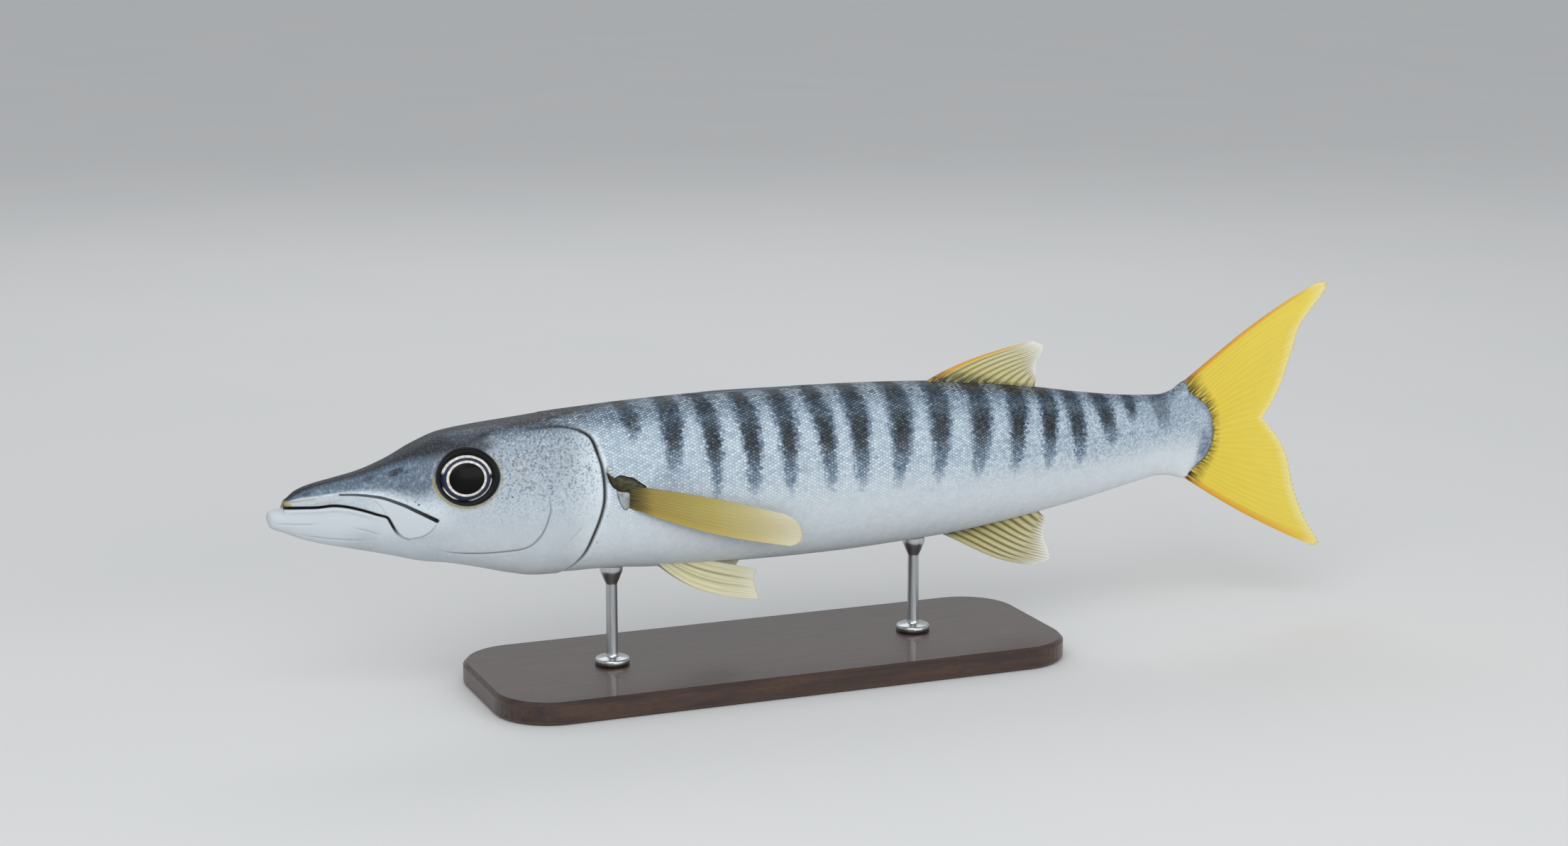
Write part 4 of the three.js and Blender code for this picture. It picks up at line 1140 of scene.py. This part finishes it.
def tail_place():
    """Places of the tail fin, from the upper tip round the fork to the lower one."""
    upper, lower = middle_place(CAUDAL_UPPER), middle_place(CAUDAL_LOWER)

    def place(u, v):
        above = upper(np.minimum(2 * u, 1), v)
        return np.where((u <= 0.5)[..., None], above, lower(np.minimum(2 - 2 * u, 1), v))

    return place


def pectoral_place(u, v):
    lift = curve_through(PECTORAL["lift"])
    flat = pick(spline(PECTORAL["root"]), u)
    flat = flat + (pick(spline(PECTORAL["edge"]), u) - flat) * v[..., None]
    bow = (PECTORAL["bow"][0] + (PECTORAL["bow"][1] - PECTORAL["bow"][0]) * u) * np.sin(np.pi * v)
    s, z = flat[..., 0], flat[..., 1] + bow
    level = widest_level(s)
    flank = half_width_at(s, level + 0.4 * (z - level))
    wave = 0.35 * v * np.sin(9 * u + 5 * v)
    return np.stack([s, -(flank + lift(v) + wave), z], axis=-1)


def pelvic_place(u, v):
    root, edge = spline(PELVIC["root"]), spline(PELVIC["edge"])
    point = pick(root, u) + (pick(edge, u) - pick(root, u)) * v[..., None]
    power = math.log(0.5) / math.log(PELVIC["bow_at"])
    bow = PELVIC["bow"] * u * np.sin(np.pi * np.clip(v, 0, 1) ** power)
    return point + np.stack([0 * bow, 0 * bow, bow], axis=-1)


def folded_place(u, v):
    fin = FIRST_DORSAL
    s = fin["start"] + (fin["end"] - fin["start"]) * v
    swell = np.sin(np.pi * np.minimum(v / 0.3, 1) * 0.5) * (1 - v**3)
    level = back(s) - fin["depth"] * (1 - smoothstep(0, 0.1, v))
    low, high = back(s) - 1.5 * fin["depth"], level + fin["rise"] * swell
    return np.stack([s, 0.25 * np.sin(18 * u), low + (high - low) * u], axis=-1)


def base_look():
    """The fleshy bases of the pectoral fins, dark above and pale in the flap."""
    look = Look("fin_base_finish", 0.4, coat=0.1, specular=0.25)
    look.colour = look.ramp(look.mark("low"), [(0.25, "#2a2716"), (0.5, "#9aa3a7")])
    look.lay(look.times(look.spread(look.noise(300, 4), 0.42, 0.6), 0.5), "#55522e")
    look.lay(look.mark("edge"), "#141412")
    return look.finish(look.noise(700), 0.25, 0.0003)


def base_piece(name, form, look, side):
    """A low mound of flesh at the root of a pectoral fin."""
    outline, centre, height = form
    rim = spline([*outline, outline[0]], BASE_SPOKES + 1)[:-1]
    part = np.linspace(0, 1, BASE_RINGS)[:, None]
    flat = np.array(centre) + (rim - centre) * part[..., None]
    s, z = flat[..., 0], flat[..., 1]
    lift = height * (1.25 * np.sqrt(1 - part**2) - 0.25) + 0 * s
    points = np.stack([s, -(half_width_at(s, z) + lift), z], axis=-1).reshape(-1, 3)
    pale = name.startswith("flap")
    marks = {
        "low": smoothstep(2, -8, z) if pale else 0 * s,
        "edge": (0.45 if pale else 0.9) * smoothstep(0.75, 0.95, part) + 0 * s,
    }
    uv = 0.5 + (flat - centre).reshape(-1, 2) / BASE_MAP_SIZE
    piece = new_piece(name, points, ring_faces(BASE_RINGS, BASE_SPOKES), look, marks, uv, side)


def streaks(look, across, out, detail=3):
    """Noise drawn out along the rays of a fin."""
    place = look.node(
        "ShaderNodeCombineXYZ",
        X=look.math("MULTIPLY", look.mark("across"), across),
        Y=look.math("MULTIPLY", look.mark("out"), out),
    ).outputs["Vector"]
    return look.node("ShaderNodeTexNoise", Vector=place, Scale=1.0, Detail=detail).outputs["Fac"]


# Looks of the fins: tones from root to edge, colour and strength of the rays, bands (place across,
# half width, colour, strength), base (share of the length, millimetres, colour), and relief
PALE_TONES = [(0, "#aca265"), (1, "#e8e8e4"), (0.3, "#cfc68d"), (0.72, "#d2cba4")]
FIN_LOOKS = {
    "tail": (
        [(0, "#b09a38"), (1, "#e6da98"), (0.16, "#dcc544"), (0.88, "#dfca52")], "#c6a834", 0.16,
        [(0, 0.03, "#d2942a", 1.2), (1, 0.05, "#d2942a", 1.2)], (0.16, 15, "#1b180e"), 0.12,
    ),
    "pectoral": (
        [
            (0, "#2a2412"), (1, "#d2cdb6"), (0.07, "#5b4f22"), (0.16, "#917e3b"), (0.5, "#ab9d58"),
            (0.78, "#bfb68a"),
        ],
        "#8a7d40", 0.08, [(1, 0.24, "#c0a23e", 0.45)], (0.18, 6, "#1d190d"), 0.15,
    ),
    "dorsal": (PALE_TONES, "#57522a", 0.72, [(0, 0.09, "#d8a23a", 1.4)], (0.24, 9, "#2b2a1c"), 0.25),
    "anal": (PALE_TONES, "#4d4924", 0.9, [(0, 0.06, "#a9a27c", 1.2)], (0.18, 8, "#3a3a2e"), 0.25),
    "pelvic": (
        [(0, "#c6c3a8"), (1, "#dcd8c4"), (0.3, "#d6d2ad"), (0.8, "#d5d1b4")], "#8f8a4a", 0.28,
        [(0.35, 0.06, "#6f6a35", 0.7), (0.62, 0.05, "#6f6a35", 0.6)], (0.1, 3, "#9aa0a8"), 0.25,
    ),
    "folded": (
        [(0, "#56636f"), (1, "#8393a0"), (0.5, "#6b7a87"), (0.8, "#75848f")], "#8d9aa3", 0.4,
        [(1, 0.2, "#8a979f", 0.5)], (0.2, 6, "#3c464f"), 0.25,
    ),
}


def fin_look(name, tones, ray_colour, ray_strength, bands, base, relief_strength):
    """A fin: tones from root to edge, darker rays, bands of colour along them, a mottled base."""
    look = Look(f"{name}_fin_finish", 0.48, coat=0.06, specular=0.3)
    out, across = look.mark("out"), look.mark("across")
    look.colour = look.ramp(out, tones)
    look.lay(look.times(look.spread(streaks(look, 90, 5), 0.3, 0.7), 0.2), ray_colour)
    faded = look.rest(look.math("POWER", out, 5.0))
    look.lay(look.times(look.times(look.mark("ray"), ray_strength), faded), ray_colour)
    for place, width, colour, strength in bands:
        away = look.math("ABSOLUTE", look.math("SUBTRACT", across, place))
        near = look.rest(look.math("DIVIDE", away, width))
        look.lay(look.times(look.times(near, strength), faded), colour)
    reach, length, colour = base
    close = look.rest(look.math("DIVIDE", look.mark("from_root"), length))
    near = look.math("MAXIMUM", look.rest(look.math("DIVIDE", out, reach)), close)
    fleck = look.times(near, look.spread(streaks(look, 60, 9, 4), 0.38, 0.56))
    look.lay(look.times(fleck, 1.6), colour)
    return look.finish(streaks(look, 220, 30), relief_strength, 0.0002)


def make_fins():
    looks = {name: fin_look(name, *form) for name, form in FIN_LOOKS.items()}
    in_middle = {
        "tail_fin": (tail_place(), CAUDAL, "tail", ["caudal_fin_upper", "caudal_fin_lower"]),
        "dorsal_fin_rear": (middle_place(SECOND_DORSAL), SECOND_DORSAL, "dorsal", ["second_dorsal_fin"]),
        "anal_fin_rayed": (middle_place(ANAL), ANAL, "anal", ["anal_fin"]),
        "dorsal_fin_folded": (folded_place, FIRST_DORSAL, "folded", ["first_dorsal_fin"]),
    }
    for name, (place, fin, look, replaced) in in_middle.items():
        slot = "tail_fin" if name == "tail_fin" else "pale_fin"
        fin_piece(name, place, fin, looks[look], replaced)
    flesh = base_look()
    for side in ("left", "right"):
        for name, form in FIN_BASES.items():
            base_piece(f"{name}_{side}", form, flesh, side)
        for name, place, fin, slot in [
            ("pectoral", pectoral_place, PECTORAL, "pectoral_fin"),
            ("pelvic", pelvic_place, PELVIC, "pale_fin"),
        ]:
            fin_piece(f"{name}_rayed_{side}", place, fin, looks[name], [f"{name}_fin_{side}"], side)


# Eyes


def eye_piece(side, look):
    """A domed eye with a round black pupil and the light rings round it."""
    place, out, along, up = eye_frame()
    part = np.linspace(0, 1, EYE_RINGS)[:, None]
    turn = np.linspace(0, 2 * np.pi, EYE_SPOKES, endpoint=False)[None, :]
    height = EYE_DOME_EDGE + (EYE_DOME - EYE_DOME_EDGE) * np.sqrt(1 - part**2) + 0 * turn
    height -= 0.35 * band(0.6, 0.7, 0.86, 1, part)
    level, rise = part * np.cos(turn), part * np.sin(turn)
    points = place + EYE_RADIUS * (level[..., None] * along + (rise * EYE_HEIGHT_RATIO)[..., None] * up)
    points = points + height[..., None] * out
    silver = band(*SILVER_RING, part)
    for rings, angles, strength in CRESCENTS:
        silver = silver + strength * band(*rings, part) * band(*angles, np.degrees(turn))
    marks = {
        "pale": np.clip(silver, 0, 1),
        "pupil": 1 - smoothstep(*PUPIL_EDGE, part) + 0 * turn,
        "navy": band(*NAVY_RING, part) + 0 * turn,
    }
    uv = 0.5 + HALF_MAP_SPAN * np.stack([level, rise], axis=-1).reshape(-1, 2)
    faces = ring_faces(EYE_RINGS, EYE_SPOKES)[:, ::-1]
    piece = new_piece(f"eyeball_{side}", points.reshape(-1, 3), faces, look, marks, uv, side)
    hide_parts(f"eye_{side}")


def eye_look():
    look = Look("eye_finish", 0.35, coat=0.04, coat_roughness=0.1, specular=0.1)
    fibres = look.noise(420, 4)
    look.colour = look.ramp(fibres, [(0.3, "#0b0d12"), (0.7, "#1a2030")])
    look.lay(look.mark("navy"), "#27304a")
    look.lay(look.mark("pale"), look.ramp(fibres, [(0.25, "#a9a59c"), (0.7, "#eeece4")]))
    look.lay(look.mark("pupil"), "#030304")
    return look.finish(look.noise(600), 0.1, 0.0001)


# Stand


def belly_at(s, y):
    """Level of the underside of the fish at a distance y from its middle."""
    part = np.minimum(np.abs(y) / half_width(s), 1)
    level, height, power = section_half(s, np.zeros_like(s, bool))
    return level - height * (1 - part**power) ** (1 / power)


def rod_piece(name, x, look):
    """A turned rod with a foot on the base and a cup cut to the belly."""
    s = x + TOTAL_LENGTH / 2
    top = belly(s) + AXIS_HEIGHT
    profile = [(r, BASE_TOP + h) for r, h in ROD_PROFILE] + [(r, top + h) for r, h in CUP_PROFILE]
    turn = np.linspace(0, 2 * np.pi, ROD_SPOKES, endpoint=False)
    points = np.array([
        (s + r * math.cos(a), r * math.sin(a), h - AXIS_HEIGHT)
        for r, h in profile
        for a in turn
    ])
    under = belly_at(points[:, 0], points[:, 1]) - ROD_GAP
    points[:, 2] = np.minimum(points[:, 2], under)
    faces = ring_faces(len(profile), ROD_SPOKES)[:, ::-1]
    piece = new_piece(name, points, faces, look)
    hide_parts(name.replace("turned", "stand"))


def wood_look():
    look = Look("stand_wood_finish", 0.38, coat=0.3)
    grain = look.noise(26, 5, (1, 9, 9))
    fine = look.noise(160, 4, (1, 14, 14))
    look.colour = look.ramp(grain, [(0.3, "#2a1a12"), (0.7, "#4a2f20")])
    look.lay(look.times(look.spread(fine, 0.45, 0.62), 0.5), "#1a100b")
    return look.finish(fine, 0.2, 0.0003)


def steel_look():
    look = Look("stand_steel_finish", 0.28, metallic=1.0)
    brushed = look.noise(900, stretch=(1, 1, 0.05))
    look.colour = look.ramp(brushed, [(0.3, "#b3b6b9"), (0.7, "#cfd2d4")])
    return look.finish(brushed, 0.1, 0.0001)


def make_camera():
    back_way = Vector((
        -math.sin(CAMERA_YAW) * math.cos(CAMERA_RISE),
        -math.cos(CAMERA_YAW) * math.cos(CAMERA_RISE),
        math.sin(CAMERA_RISE),
    ))
    data = bpy.data.cameras.new("camera")
    data.lens = LENS
    data.sensor_width = SENSOR
    data.clip_start = 0.05
    camera = bpy.data.objects.new("camera", data)
    camera.location = CAMERA_TARGET + back_way * CAMERA_DISTANCE
    camera.rotation_mode = "QUATERNION"
    camera.rotation_quaternion = (-back_way).to_track_quat("-Z", "Y")
    bpy.context.scene.collection.objects.link(camera)
    bpy.context.scene.camera = camera


def make_lamp(name, place, size, power):
    data = bpy.data.lights.new(name, "AREA")
    data.shape = "RECTANGLE"
    data.size, data.size_y = size
    data.energy = power
    light = bpy.data.objects.new(name, data)
    light.location = place
    light.rotation_mode = "QUATERNION"
    light.rotation_quaternion = (CAMERA_TARGET - Vector(place)).to_track_quat("-Z", "Y")
    bpy.context.scene.collection.objects.link(light)


def make_studio():
    """A plain pale floor, a soft key light over the head, a fill and a weak light from behind."""
    look = Look("floor", 0.8, specular=0.1)
    look.colour = look.ramp(look.noise(3, 2), [(0.3, "#dfe0e0"), (0.7, "#e1e1e1")])
    bpy.ops.mesh.primitive_plane_add(size=FLOOR_SIZE, location=(0, 0, 0))
    floor = bpy.context.object
    floor.name = "floor"
    floor.data.materials.append(look.finish())
    for lamp in LAMPS:
        make_lamp(*lamp)
    world = bpy.data.worlds.new("studio")
    world.use_nodes = True
    world.node_tree.nodes["Background"].inputs["Color"].default_value = linear(SKY)
    world.node_tree.nodes["Background"].inputs["Strength"].default_value = SKY_STRENGTH
    bpy.context.scene.world = world
    bpy.context.scene.view_settings.view_transform = "Standard"


skin_piece(flesh_look("flesh", scaled=False))
scaled_flesh = flesh_look("scaled_flesh", scaled=True)
for side in ("left", "right"):
    for part in range(COAT_PIECES):
        scale_coat(side, part, scaled_flesh)
make_fins()
eye_finish = eye_look()
for side in ("left", "right"):
    eye_piece(side, eye_finish)
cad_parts["stand_base"].data.materials.clear()
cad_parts["stand_base"].data.materials.append(wood_look())
steel = steel_look()
for rod, x in RODS.items():
    rod_piece(rod.replace("stand", "turned"), x, steel)

make_camera()
make_studio()
